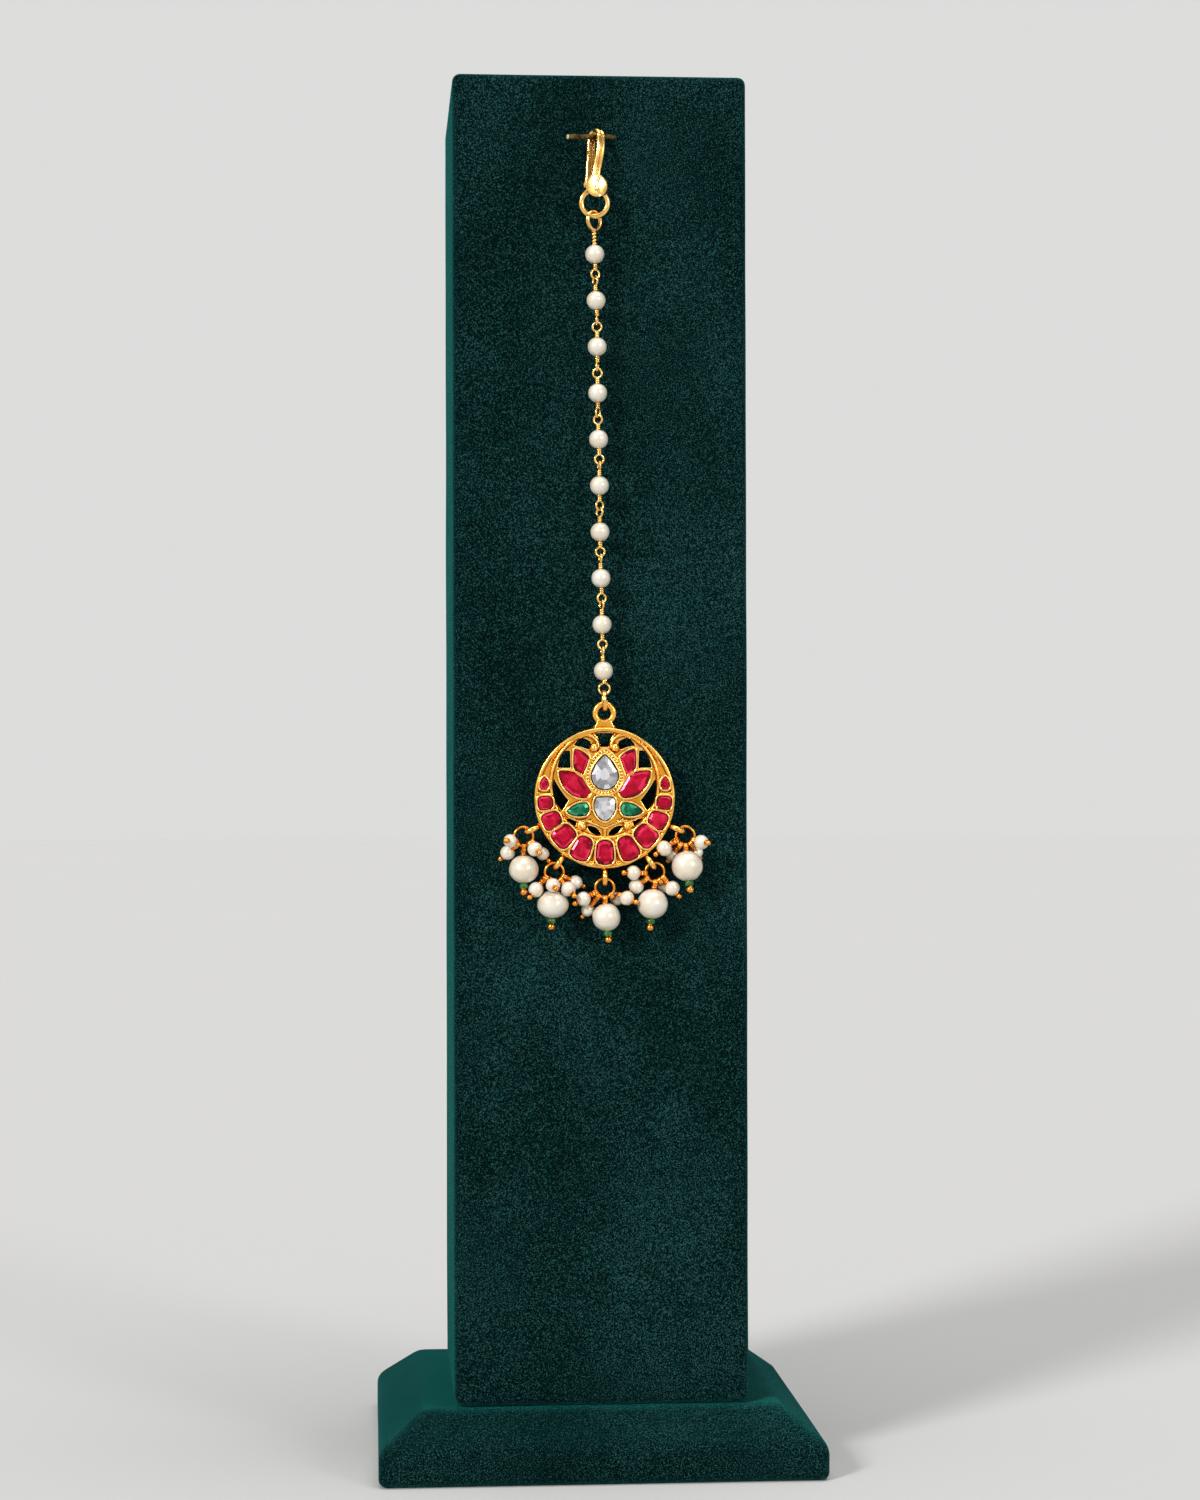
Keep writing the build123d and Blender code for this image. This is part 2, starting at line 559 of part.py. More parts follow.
ring_solids = []
seed_solids = []
for drop, (row, small_pearls) in enumerate(zip(DROPS, CLUSTERS), start=1):
    eyelet_angle, ring_lean, pearl_width, pearl_height, wrap, side_lean, front_lean = row
    ring_heading = Vector(sin(radians(ring_lean)), 0, -cos(radians(ring_lean)))
    eyelet_centre = disc_point(eyelet_angle, EYELET_ORBIT)
    ring_middle = eyelet_centre + ring_heading * (DROP_RING_SEAT + DROP_RING_RADIUS)
    with BuildPart() as drop_ring:
        with Locations(Plane(origin=ring_middle, z_dir=FORWARD)):
            Torus(DROP_RING_RADIUS, DROP_RING_WIRE)
    ring_solids.append(drop_ring.part)

    along = Vector(sin(radians(side_lean)), -sin(radians(front_lean)), -1).normalized()
    bottom = ring_point(ring_middle, 0)
    loop_reach = 2 * DROP_LOOP_RADIUS - DROP_RING_WIRE - DROP_LOOP_PLAY
    pearl_reach = loop_reach + wrap + BEAD_GAP
    seed_reach = pearl_reach + pearl_height + BEAD_GAP + SEED_HEIGHT / 2
    ball_reach = seed_reach + SEED_HEIGHT / 2 + BALL_RADIUS
    save(
        head_pin(bottom, RIGHT, along, loop_reach + wrap, ball_reach, BALL_RADIUS),
        f"drop_pin_{drop}",
    )

    pearl_plane = Plane(origin=bottom + along * (pearl_reach + pearl_height / 2), z_dir=-along)
    with BuildPart() as big_pearl:
        half_plane = Plane(origin=pearl_plane.origin, x_dir=pearl_plane.x_dir, z_dir=pearl_plane.y_dir)
        with BuildSketch(half_plane):
            Ellipse(pearl_width / 2, pearl_height / 2)
            Rectangle(pearl_width, pearl_height, align=(Align.MAX, Align.CENTER), mode=Mode.SUBTRACT)
        revolve(axis=Axis(pearl_plane.origin, pearl_plane.z_dir))
        with Locations(pearl_plane):
            Cylinder(DROP_DRILL_RADIUS, 2 * pearl_height, mode=Mode.SUBTRACT)
    save(big_pearl, f"drop_pearl_{drop}")

    with BuildPart() as seed:
        with Locations(Plane(origin=bottom + along * seed_reach, z_dir=along)):
            Cylinder(SEED_RADIUS, SEED_HEIGHT)
            Cylinder(DROP_DRILL_RADIUS, 2 * SEED_HEIGHT, mode=Mode.SUBTRACT)
        fillet(seed.edges().filter_by(GeomType.CIRCLE).group_by(SortBy.RADIUS)[-1], SEED_HEIGHT / 4)
    seed_solids.append(seed.part)

    cluster_pearls = []
    cluster_pins = []
    for place, right, up, forward, radius in small_pearls:
        wire_point = ring_point(ring_middle, place)
        pearl_centre = ring_middle + Vector(right, -forward, up)
        pin_along = (pearl_centre - wire_point).normalized()
        distance = (pearl_centre - wire_point).length
        tangent = Vector(cos(radians(place)), 0, sin(radians(place)))
        neck_reach = distance - radius - BEAD_GAP
        ball_reach = distance + radius + CLUSTER_BALL_RADIUS
        small_pin = head_pin(wire_point, tangent, pin_along, neck_reach, ball_reach, CLUSTER_BALL_RADIUS)
        cluster_pins.append(small_pin.part)
        with BuildPart() as cluster_pearl:
            with Locations(Plane(origin=pearl_centre, z_dir=pin_along)):
                Sphere(radius)
                Cylinder(DROP_DRILL_RADIUS, 3 * radius, mode=Mode.SUBTRACT)
        cluster_pearls.append(cluster_pearl.part)
    save_group(cluster_pins, f"cluster_pins_{drop}")
    save_group(cluster_pearls, f"cluster_pearls_{drop}")
save_group(ring_solids, "drop_rings")
save_group(seed_solids, "seed_beads")

ring_pivot = last_loop_centre + DOWN * LAST_LOOP_RADIUS
for joint, pivot in (("ring swing, about X", ring_pivot), ("pendant swing, about Y", bail_ring_bottom)):
    print(f"{joint}: {pivot.X:.3f}, {pivot.Y:.3f}, {pivot.Z:.3f}")
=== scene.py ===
"""Looks of a maang tikka that hangs from the pin of its velvet display stand.

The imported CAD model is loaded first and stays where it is.  Every piece made here takes its place
from that frame: cast gold with cut stones, wrapped wire links, pearls, head pins and velvet.
Lengths are written in millimetres and turned into metres where a mesh is made.
"""

import json
import logging
import math
import random
from collections.abc import Callable, Iterator, Sequence
from contextlib import contextmanager
from dataclasses import dataclass, field
from enum import Enum

import bmesh
import bpy
import numpy as np
from mathutils import Matrix, Quaternion, Vector, noise

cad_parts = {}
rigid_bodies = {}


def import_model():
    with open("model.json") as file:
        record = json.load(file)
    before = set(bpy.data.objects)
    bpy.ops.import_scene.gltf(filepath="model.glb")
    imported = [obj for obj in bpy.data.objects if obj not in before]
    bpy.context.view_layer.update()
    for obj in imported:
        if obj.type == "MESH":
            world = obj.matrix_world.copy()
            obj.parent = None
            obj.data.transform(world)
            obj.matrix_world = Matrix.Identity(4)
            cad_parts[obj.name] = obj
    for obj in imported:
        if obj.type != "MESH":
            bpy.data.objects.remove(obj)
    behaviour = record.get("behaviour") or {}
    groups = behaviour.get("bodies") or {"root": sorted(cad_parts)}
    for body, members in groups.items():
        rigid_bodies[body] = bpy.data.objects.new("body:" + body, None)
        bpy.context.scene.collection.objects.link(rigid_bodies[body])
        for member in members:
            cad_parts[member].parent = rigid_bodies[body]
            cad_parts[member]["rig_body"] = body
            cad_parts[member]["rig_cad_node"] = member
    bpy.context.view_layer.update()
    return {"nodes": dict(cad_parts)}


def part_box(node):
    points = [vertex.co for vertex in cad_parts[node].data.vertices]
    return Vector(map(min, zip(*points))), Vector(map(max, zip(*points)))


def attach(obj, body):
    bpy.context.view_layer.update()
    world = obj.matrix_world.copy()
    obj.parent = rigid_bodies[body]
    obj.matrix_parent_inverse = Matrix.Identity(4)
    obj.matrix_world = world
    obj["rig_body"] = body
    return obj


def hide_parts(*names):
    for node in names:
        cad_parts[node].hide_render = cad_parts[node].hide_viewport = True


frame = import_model()

log = logging.getLogger("tikka")

MM = 0.001
UP = Vector((0, 0, 1))
RIGHT = Vector((1, 0, 0))
FORWARD = Vector((0, -1, 0))
TURN = 2 * math.pi
SEED = 11

Tint = tuple[float, float, float, float]


class Body(Enum):
    """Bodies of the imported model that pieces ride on."""

    STAND = "stand"
    BAIL = "bail"
    PENDANT = "pendant"


class Slot(Enum):
    """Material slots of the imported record."""

    VELVET = "velvet"
    PIN = "aged_brass_pin"
    CAST_GOLD = "cast_gold"
    GOLD_WIRE = "gold_wire"
    PEARL = "pearl"
    RUBY = "ruby_stone"
    EMERALD = "emerald_stone"
    CLEAR = "clear_stone"
    SEED = "green_seed_bead"


# ---------------------------------------------------------------- shader building


class Socket:
    """Output of a node, on which Python arithmetic adds Math nodes."""

    def __init__(self, shade: "Shade", output: bpy.types.NodeSocket) -> None:
        """Keeps the node tree and the output that this value stands for."""
        self.shade = shade
        self.output = output

    def _math(self, operation: str, first: "Socket | float", second: "Socket | float") -> "Socket":
        """Adds a Math node on two values and returns its output."""
        return self.shade.node("ShaderNodeMath", {"operation": operation}, {0: first, 1: second})

    def __add__(self, other: "Socket | float") -> "Socket":
        """Sum."""
        return self._math("ADD", self, other)

    def __radd__(self, other: "Socket | float") -> "Socket":
        """Sum with a number on the left."""
        return self._math("ADD", other, self)

    def __sub__(self, other: "Socket | float") -> "Socket":
        """Difference."""
        return self._math("SUBTRACT", self, other)

    def __rsub__(self, other: "Socket | float") -> "Socket":
        """Difference from a number on the left."""
        return self._math("SUBTRACT", other, self)

    def __mul__(self, other: "Socket | float") -> "Socket":
        """Product."""
        return self._math("MULTIPLY", self, other)

    def __rmul__(self, other: "Socket | float") -> "Socket":
        """Product with a number on the left."""
        return self._math("MULTIPLY", other, self)


class Shade:
    """Node tree of one material, with a Principled shader at its end."""

    def __init__(self, name: str) -> None:
        """Makes an empty material.

        Args:
            name: Name of the material.
        """
        self.material = bpy.data.materials.new(name)
        self.material.use_nodes = True
        self.tree = self.material.node_tree
        self.tree.nodes.clear()
        self.surface = self.tree.nodes.new("ShaderNodeBsdfPrincipled")
        self.output = self.tree.nodes.new("ShaderNodeOutputMaterial")
        self.tree.links.new(self.surface.outputs[0], self.output.inputs["Surface"])

    def node(
        self,
        kind: str,
        settings: dict[str, object] | None = None,
        inputs: dict[int | str, object] | None = None,
        output: int | str = 0,
    ) -> Socket:
        """Adds a node, its settings first and then its sockets.

        Args:
            kind: Blender's name of the node type.
            settings: Properties of the node; "stops" fills a colour ramp.
            inputs: Values or links, by socket index or name.
            output: Which output is returned.

        Returns:
            The chosen output.
        """
        made = self.tree.nodes.new(kind)
        for name, value in (settings or {}).items():
            if name == "stops":
                self._fill_ramp(made.color_ramp, value)
            else:
                setattr(made, name, value)
        for key, value in (inputs or {}).items():
            if isinstance(value, Socket):
                self.tree.links.new(value.output, made.inputs[key])
            else:
                made.inputs[key].default_value = value
        return Socket(self, made.outputs[output])

    @staticmethod
    def _fill_ramp(ramp: bpy.types.ColorRamp, stops: Sequence[tuple[float, Tint]]) -> None:
        """Sets the stops of a colour ramp.

        Args:
            ramp: The ramp.
            stops: Place and colour of each stop, from low to high.
        """
        while len(ramp.elements) < len(stops):
            ramp.elements.new(1.0)
        for element, (place, colour) in zip(ramp.elements, stops):
            element.position = place
            element.color = colour

    def place(self) -> Socket:
        """Object coordinates, in metres."""
        return self.node("ShaderNodeTexCoord", output="Object")

    def noise(
        self, scale: float, detail: float = 2.0, roughness: float = 0.5, stretch: Vector | None = None
    ) -> Socket:
        """Cloudy value from 0 to 1.

        Args:
            scale: Clouds in a metre.
            detail: Octaves.
            roughness: Strength of the finer octaves.
            stretch: Scale of the pattern along each axis.

        Returns:
            The noise value.
        """
        place = self.place()
        if stretch is not None:
            place = self.node("ShaderNodeMapping", inputs={"Vector": place, "Scale": stretch})
        inputs = {"Vector": place, "Scale": scale, "Detail": detail, "Roughness": roughness}
        return self.node("ShaderNodeTexNoise", inputs=inputs)

    def attribute(self, name: str) -> Socket:
        """A number stored on the piece's mesh."""
        return self.node("ShaderNodeAttribute", {"attribute_name": name}, output="Fac")

    def curvature_shade(self) -> Socket:
        """Curvature of the mesh for painted shade and highlight: above 0.5 on ridges and below it in hollows.
        """
        return self.node("ShaderNodeNewGeometry", output="Pointiness")

    def ramp(self, value: Socket, *stops: tuple[float, Tint]) -> Socket:
        """Colour looked up from a value."""
        return self.node("ShaderNodeValToRGB", {"stops": stops}, {"Fac": value})

    def remap(self, value: Socket, low: float, high: float, first: float = 0.0, last: float = 1.0) -> Socket:
        """Straight change of range, from low and high to first and last, held at its ends."""
        inputs = {"Value": value, 1: low, 2: high, 3: first, 4: last}
        return self.node("ShaderNodeMapRange", {"clamp": True}, inputs)

    def mix(self, factor: Socket | float, first: Socket | Tint, second: Socket | Tint) -> Socket:
        """Mixes two colours, all of the second one at a factor of 1."""
        return self.node("ShaderNodeMix", {"data_type": "RGBA"}, {0: factor, 6: first, 7: second}, 2)

    def bump(self, height: Socket, depth: float, strength: float = 1.0) -> Socket:
        """Normal of a surface with a relief.

        Args:
            height: Relief from 0 to 1.
            depth: Depth of the relief in millimetres.
            strength: Share of the effect.

        Returns:
            The normal.
        """
        inputs = {"Height": height, "Distance": depth * MM, "Strength": strength}
        return self.node("ShaderNodeBump", inputs=inputs)

    def finish(self, **sockets: object) -> bpy.types.Material:
        """Sets the shader's own sockets.

        Args:
            **sockets: Values or links, by the socket's name with underscores for spaces.

        Returns:
            The material.
        """
        for name, value in sockets.items():
            socket = self.surface.inputs[name.replace("_", " ")]
            if isinstance(value, Socket):
                self.tree.links.new(value.output, socket)
            else:
                socket.default_value = value
        return self.material


def tint(red: float, green: float, blue: float) -> Tint:
    """Linear colour with full alpha."""
    return (red, green, blue, 1.0)


# ---------------------------------------------------------------- finishes


@dataclass(frozen=True)
class Velvet:
    """Short dense pile that is dark face on and lighter where it turns away."""

    ground: Tint = tint(0.0002, 0.0045, 0.0045)
    pile: Tint = tint(0.001, 0.017, 0.0165)
    tips: Tint = tint(0.028, 0.10, 0.094)
    glow: Tint = tint(0.03, 0.72, 0.64)
    fibres_per_metre: float = 4200.0
    relief_scale: float = 0.8
    strokes_per_metre: float = 38.0
    stroke_share: float = 0.5
    fibre_depth: float = 0.35

    def make(self) -> bpy.types.Material:
        """Builds the material."""
        shade = Shade("velvet")
        fibres = shade.remap(shade.noise(self.fibres_per_metre, 2.0, 0.8), 0.34, 0.68)
        nap = shade.noise(self.strokes_per_metre, 3.0, 0.6, Vector((1.0, 1.0, 0.55)))
        level = fibres + (nap - 0.5) * self.stroke_share
        colour = shade.ramp(level, (0.34, self.ground), (0.62, self.pile), (0.94, self.tips))
        relief = shade.noise(self.fibres_per_metre * self.relief_scale, 2.0, 0.8)
        return shade.finish(
            Base_Color=colour,
            Roughness=0.95,
            Specular_IOR_Level=0.02,
            Sheen_Weight=0.34,
            Sheen_Roughness=0.24,
            Sheen_Tint=self.glow,
            Normal=shade.bump(relief, self.fibre_depth, 0.9),
        )


@dataclass(frozen=True)
class AgedBrass:
    """Brown brass rod whose cut end is bright."""

    dark: Tint = tint(0.045, 0.028, 0.008)
    brass: Tint = tint(0.30, 0.19, 0.05)
    bright: Tint = tint(0.85, 0.72, 0.42)
    stains_per_metre: float = 900.0
    pits_per_metre: float = 2500.0
    pit_depth: float = 0.06

    def make(self) -> bpy.types.Material:
        """Builds the material."""
        shade = Shade("aged_brass")
        stain = shade.noise(self.stains_per_metre, 4.0, 0.7)
        skin = shade.ramp(stain, (0.38, self.dark), (0.72, self.brass))
        cut = shade.attribute("cut_end")
        return shade.finish(
            Base_Color=shade.mix(cut, skin, self.bright),
            Metallic=0.9,
            Roughness=shade.remap(stain, 0.3, 0.7, 0.55, 0.38),
            Normal=shade.bump(shade.noise(self.pits_per_metre, 3.0), self.pit_depth, 0.6),
        )


@dataclass(frozen=True)
class Gold:
    """Gold whose curvature paints orange shade into its hollows and pale highlight onto its ridges.

    Attributes:
        name: Name of the material.
        hollow_shade: Painted shade in the hollows; the dark end of the clouds where they alone set the
            colour.
        body: Colour of the plain surface.
        ridge: Painted highlight on the ridges; the light end of the clouds where they alone set the colour.
        roughness: Middle roughness.
        grain: Depth of its pits in millimetres.
        spread: Curvature over or under 0.5 at which the painted highlight on ridges and the painted shade in
            hollows are full.
        curvature_shade: Whether curvature paints shade into hollows and highlight onto ridges, and not clouds
            alone.
        drift: Share of the clouds in the colour where curvature paints the shade.
        drift_alone: Share of the clouds where they alone set the colour.
        clouds_per_metre: Scale of the clouds.
        pits_per_metre: Scale of the pits.
    """

    name: str
    hollow_shade: Tint
    body: Tint
    ridge: Tint
    roughness: float
    grain: float
    spread: float = 0.045
    curvature_shade: bool = True
    drift: float = 0.04
    drift_alone: float = 0.09
    clouds_per_metre: float = 650.0
    pits_per_metre: float = 2200.0

    def make(self) -> bpy.types.Material:
        """Builds the material."""
        shade = Shade(self.name)
        cloud = shade.noise(self.clouds_per_metre, 3.0, 0.6)
        # Painted shade and highlight: curvature darkens the hollows and lightens the ridges, and clouds add a
        # random tone.
        if self.curvature_shade:
            shade_and_tone = shade.curvature_shade() + (cloud - 0.5) * self.drift
        else:
            shade_and_tone = (cloud - 0.5) * self.drift_alone + 0.5
        low, high = 0.5 - self.spread, 0.5 + self.spread
        colour = shade.ramp(shade_and_tone, (low, self.hollow_shade), (0.5, self.body), (high, self.ridge))
        pits = shade.noise(self.pits_per_metre, 4.0, 0.65)
        return shade.finish(
            Base_Color=colour,
            Metallic=1.0,
            Roughness=shade.remap(cloud, 0.3, 0.7, self.roughness - 0.05, self.roughness + 0.09),
            Normal=shade.bump(pits, self.grain, 0.7),
        )


@dataclass(frozen=True)
class FoiledStone:
    """Stone over foil, with the light that its facets throw back painted into its colour.

    Attributes:
        name: Name of the material.
        edge: Painted shade: the dark line round the stone, beside its bezel.
        deep: Painted shade of the facets that throw back little.
        body: Colour of the middling facets.
        flash: Painted reflection of the brightest facets.
        metallic: How much the foil shines through.
        roughness: Roughness of the polish.
        clouds_per_metre: Scale of the foil's creases.
        waves_per_metre: Scale of the unevenness of the polish.
        wave_depth: Depth of that unevenness in millimetres.
    """

    name: str
    edge: Tint
    deep: Tint
    body: Tint
    flash: Tint
    metallic: float = 0.25
    roughness: float = 0.12
    clouds_per_metre: float = 480.0
    waves_per_metre: float = 300.0
    wave_depth: float = 0.05

    def make(self) -> bpy.types.Material:
        """Builds the material."""
        shade = Shade(self.name)
        # Painted light stored on each facet: shade at the girdle and reflections on the facets.
        facet_light = shade.attribute("facet_tone")
        cloud = shade.remap(shade.noise(self.clouds_per_metre, 4.0, 0.6), 0.3, 0.7)
        level = facet_light * (0.72 + cloud * 0.5)
        colour = shade.ramp(level, (0.04, self.edge), (0.28, self.deep), (0.6, self.body), (1.0, self.flash))
        return shade.finish(
            Base_Color=colour,
            Metallic=self.metallic,
            Roughness=self.roughness,
            IOR=1.45,
            Specular_IOR_Level=0.12,
            Coat_Weight=0.16,
            Coat_Roughness=0.05,
            Normal=shade.bump(shade.noise(self.waves_per_metre, 2.0), self.wave_depth, 0.35),
        )


@dataclass(frozen=True)
class PearlCoat:
    """Cream nacre with faint warm and cool clouds."""

    warm: Tint = tint(0.73, 0.63, 0.46)
    cream: Tint = tint(0.77, 0.69, 0.55)
    cool: Tint = tint(0.78, 0.74, 0.66)
    clouds_per_metre: float = 310.0
    bands_per_metre: float = 900.0
    band_share: float = 0.25
    waves_per_metre: float = 700.0
    wave_depth: float = 0.05

    def make(self) -> bpy.types.Material:
        """Builds the material."""
        shade = Shade("pearl")
        cloud = shade.noise(self.clouds_per_metre, 3.0, 0.55)
        bands = shade.noise(self.bands_per_metre, 2.0, 0.5, Vector((0.35, 0.35, 1.0)))
        level = cloud * (1 - self.band_share) + bands * self.band_share
        colour = shade.ramp(level, (0.34, self.warm), (0.5, self.cream), (0.66, self.cool))
        return shade.finish(
            Base_Color=colour,
            Roughness=shade.remap(cloud, 0.3, 0.7, 0.28, 0.38),
            IOR=1.6,
            Metallic=0.12,
            Coat_Weight=0.75,
            Coat_Roughness=0.18,
            Coat_IOR=1.6,
            Subsurface_Weight=0.06,
            Subsurface_Scale=0.0005,
            Normal=shade.bump(shade.noise(self.waves_per_metre, 2.0), self.wave_depth, 0.4),
        )


@dataclass(frozen=True)
class SeedGlass:
    """Green glass of the seed beads, streaked along the bead."""

    deep: Tint = tint(0.0008, 0.045, 0.008)
    light: Tint = tint(0.015, 0.21, 0.036)
    streaks_per_metre: float = 2400.0
    streak_depth: float = 0.04

    def make(self) -> bpy.types.Material:
        """Builds the material."""
        shade = Shade("green_glass")
        streak = shade.noise(self.streaks_per_metre, 2.0, 0.6, Vector((1.0, 1.0, 0.2)))
        colour = shade.ramp(streak, (0.38, self.deep), (0.66, self.light))
        return shade.finish(
            Base_Color=colour,
            Roughness=0.1,
            IOR=1.45,
            Specular_IOR_Level=0.3,
            Coat_Weight=0.6,
            Coat_Roughness=0.03,
            Normal=shade.bump(streak, self.streak_depth, 0.5),
        )


@dataclass(frozen=True)
class Finish:
    """A material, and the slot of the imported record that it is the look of."""

    material: bpy.types.Material
    slot: Slot


class Finishes:
    """Every finish of the piece, made once."""

    def __init__(self) -> None:
        """Builds the materials."""
        self.velvet = Finish(Velvet().make(), Slot.VELVET)
        self.brass = Finish(AgedBrass().make(), Slot.PIN)
        # Painted shade goes into the hollows and painted highlight onto the ridges of this gold, by
        # curvature.
        cast = Gold(
            "antique_gold",
            hollow_shade=tint(0.32, 0.07, 0.002),
            body=tint(0.98, 0.42, 0.038),
            ridge=tint(1.0, 0.68, 0.22),
            roughness=0.22,
            grain=0.035,
        )
        self.cast = Finish(cast.make(), Slot.CAST_GOLD)
        wire = Gold(
            "pale_gold_wire",
            hollow_shade=tint(0.88, 0.38, 0.06),
            body=tint(1.0, 0.60, 0.18),
            ridge=tint(1.0, 0.80, 0.42),
            roughness=0.17,
            grain=0.002,
            curvature_shade=False,
        )
        self.wire = Finish(wire.make(), Slot.GOLD_WIRE)
        pin_gold = Gold(
            "orange_gold_wire",
            hollow_shade=tint(0.52, 0.14, 0.012),
            body=tint(0.82, 0.30, 0.04),
            ridge=tint(0.98, 0.50, 0.13),
            roughness=0.2,
            grain=0.003,
            curvature_shade=False,
        )
        self.pin_gold = Finish(pin_gold.make(), Slot.GOLD_WIRE)
        # Each stone's colours run from painted shade at its edge to painted reflection at its flash.
        ruby = FoiledStone(
            "ruby",
            edge=tint(0.035, 0.0, 0.002),
            deep=tint(0.12, 0.0, 0.006),
            body=tint(0.48, 0.0, 0.024),
            flash=tint(0.95, 0.04, 0.12),
        )
        self.ruby = Finish(ruby.make(), Slot.RUBY)
        emerald = FoiledStone(
            "emerald",
            edge=tint(0.001, 0.015, 0.008),
            deep=tint(0.001, 0.05, 0.022),
            body=tint(0.004, 0.16, 0.068),
            flash=tint(0.09, 0.46, 0.26),
        )
        self.emerald = Finish(emerald.make(), Slot.EMERALD)
        crystal = FoiledStone(
            "clear_stone",
            edge=tint(0.10, 0.075, 0.06),
            deep=tint(0.17, 0.16, 0.17),
            body=tint(0.74, 0.74, 0.76),
            flash=tint(1.0, 1.0, 0.99),
            metallic=0.6,
            roughness=0.1,
        )
        self.crystal = Finish(crystal.make(), Slot.CLEAR)
        self.pearl = Finish(PearlCoat().make(), Slot.PEARL)
        self.seed = Finish(SeedGlass().make(), Slot.SEED)


# ---------------------------------------------------------------- modelling by operators


def only(*objects: bpy.types.Object) -> None:
    """Selects these objects and nothing else, and makes the first one active.

    Args:
        *objects: Objects to select.
    """
    bpy.ops.object.select_all(action="DESELECT")
    for item in objects:
        item.select_set(True)
    bpy.context.view_layer.objects.active = objects[0]


@contextmanager
def editing(item: bpy.types.Object, kind: str = "FACE") -> Iterator[None]:
    """Edit mode on one object, with nothing of it selected at first.

    Args:
        item: Object to edit.
        kind: VERT, EDGE or FACE.
    """
    only(item)
    bpy.ops.object.mode_set(mode="EDIT")
    bpy.ops.mesh.select_mode(type=kind)
    bpy.ops.mesh.select_all(action="DESELECT")
    yield
    bpy.ops.object.mode_set(mode="OBJECT")


def pick_faces(item: bpy.types.Object, wanted: Callable[[bmesh.types.BMFace], bool]) -> None:
    """Selects, in edit mode, the faces that pass a test.

    Args:
        item: Object in edit mode.
        wanted: The test.
    """
    mesh = bmesh.from_edit_mesh(item.data)
    for face in mesh.faces:
        face.select_set(wanted(face))
    bmesh.update_edit_mesh(item.data)


def pick_edges(item: bpy.types.Object, wanted: Callable[[bmesh.types.BMEdge], bool]) -> None:
    """Selects, in edit mode, the edges that pass a test.

    Args:
        item: Object in edit mode.
        wanted: The test.
    """
    mesh = bmesh.from_edit_mesh(item.data)
    for edge in mesh.edges:
        edge.select_set(wanted(edge))
    bmesh.update_edit_mesh(item.data)


def applied(item: bpy.types.Object, kind: str, **settings: object) -> None:
    """Adds a modifier and applies it.

    Args:
        item: Object that gets the modifier.
        kind: Blender's name of the modifier type.
        **settings: Properties of the modifier.
    """
    only(item)
    modifier = item.modifiers.new(kind.lower(), kind)
    for name, value in settings.items():
        setattr(modifier, name, value)
    bpy.ops.object.modifier_apply(modifier=modifier.name)


def settled(item: bpy.types.Object) -> bpy.types.Object:
    """Puts an object's place, turn and scale into its mesh, and returns it."""
    only(item)
    bpy.ops.object.transform_apply(location=True, rotation=True, scale=True)
    return item


def joined(*items: bpy.types.Object) -> bpy.types.Object:
    """Joins objects into the first one, and returns that one."""
    only(*items)
    if len(items) > 1:
        bpy.ops.object.join()
    return items[0]


def copied(item: bpy.types.Object, matrix: Matrix | None = None) -> bpy.types.Object:
    """Copies an object, with a mesh of its own.

    Args:
        item: Object to copy.
        matrix: Move of the copy's mesh.

    Returns:
        The copy.
    """
    only(item)
    bpy.ops.object.duplicate(linked=False)
    twin = bpy.context.object
    if matrix is not None:
        twin.data.transform(matrix)
    return twin


def smooth(item: bpy.types.Object, angle: float | None = None) -> bpy.types.Object:
    """Shades an object smooth.

    Args:
        item: The object.
        angle: Angle in degrees over which an edge stays sharp, or None for no sharp edge.

    Returns:
        The object.
    """
    only(item)
    if angle is None:
        bpy.ops.object.shade_smooth()
    else:
        bpy.ops.object.shade_smooth_by_angle(angle=math.radians(angle))
    return item


def faces_out(item: bpy.types.Object) -> None:
    """Turns the faces of a closed mesh outwards."""
    with editing(item):
        bpy.ops.mesh.select_all(action="SELECT")
        bpy.ops.mesh.normals_make_consistent(inside=False)


def ball(centre: Vector, radius: float, segments: int = 24, rings: int = 16) -> bpy.types.Object:
    """Small cast ball, in millimetres.

    Args:
        centre: Place of its centre.
        radius: Its radius.
        segments: Faces round it.
        rings: Faces from pole to pole.

    Returns:
        The ball.
    """
    bpy.ops.mesh.primitive_uv_sphere_add(
        segments=segments, ring_count=rings, radius=radius * MM, location=centre * MM
    )
    return settled(bpy.context.object)


def hoop(
    centre: Vector, axis: Vector, radius: float, wire: float, around: int = 72, across: int = 16
) -> bpy.types.Object:
    """Closed ring of round wire, in millimetres.

    Args:
        centre: Centre of the ring.
        axis: Direction through the ring.
        radius: Radius of the wire's centre line.
        wire: Radius of the wire.
        around: Faces round the ring.
        across: Faces round the wire.

    Returns:
        The ring.
    """
    bpy.ops.mesh.primitive_torus_add(
        major_radius=radius * MM,
        minor_radius=wire * MM,
        major_segments=around,
        minor_segments=across,
        location=centre * MM,
        rotation=axis.to_track_quat("Z", "Y").to_euler(),
    )
    return settled(bpy.context.object)


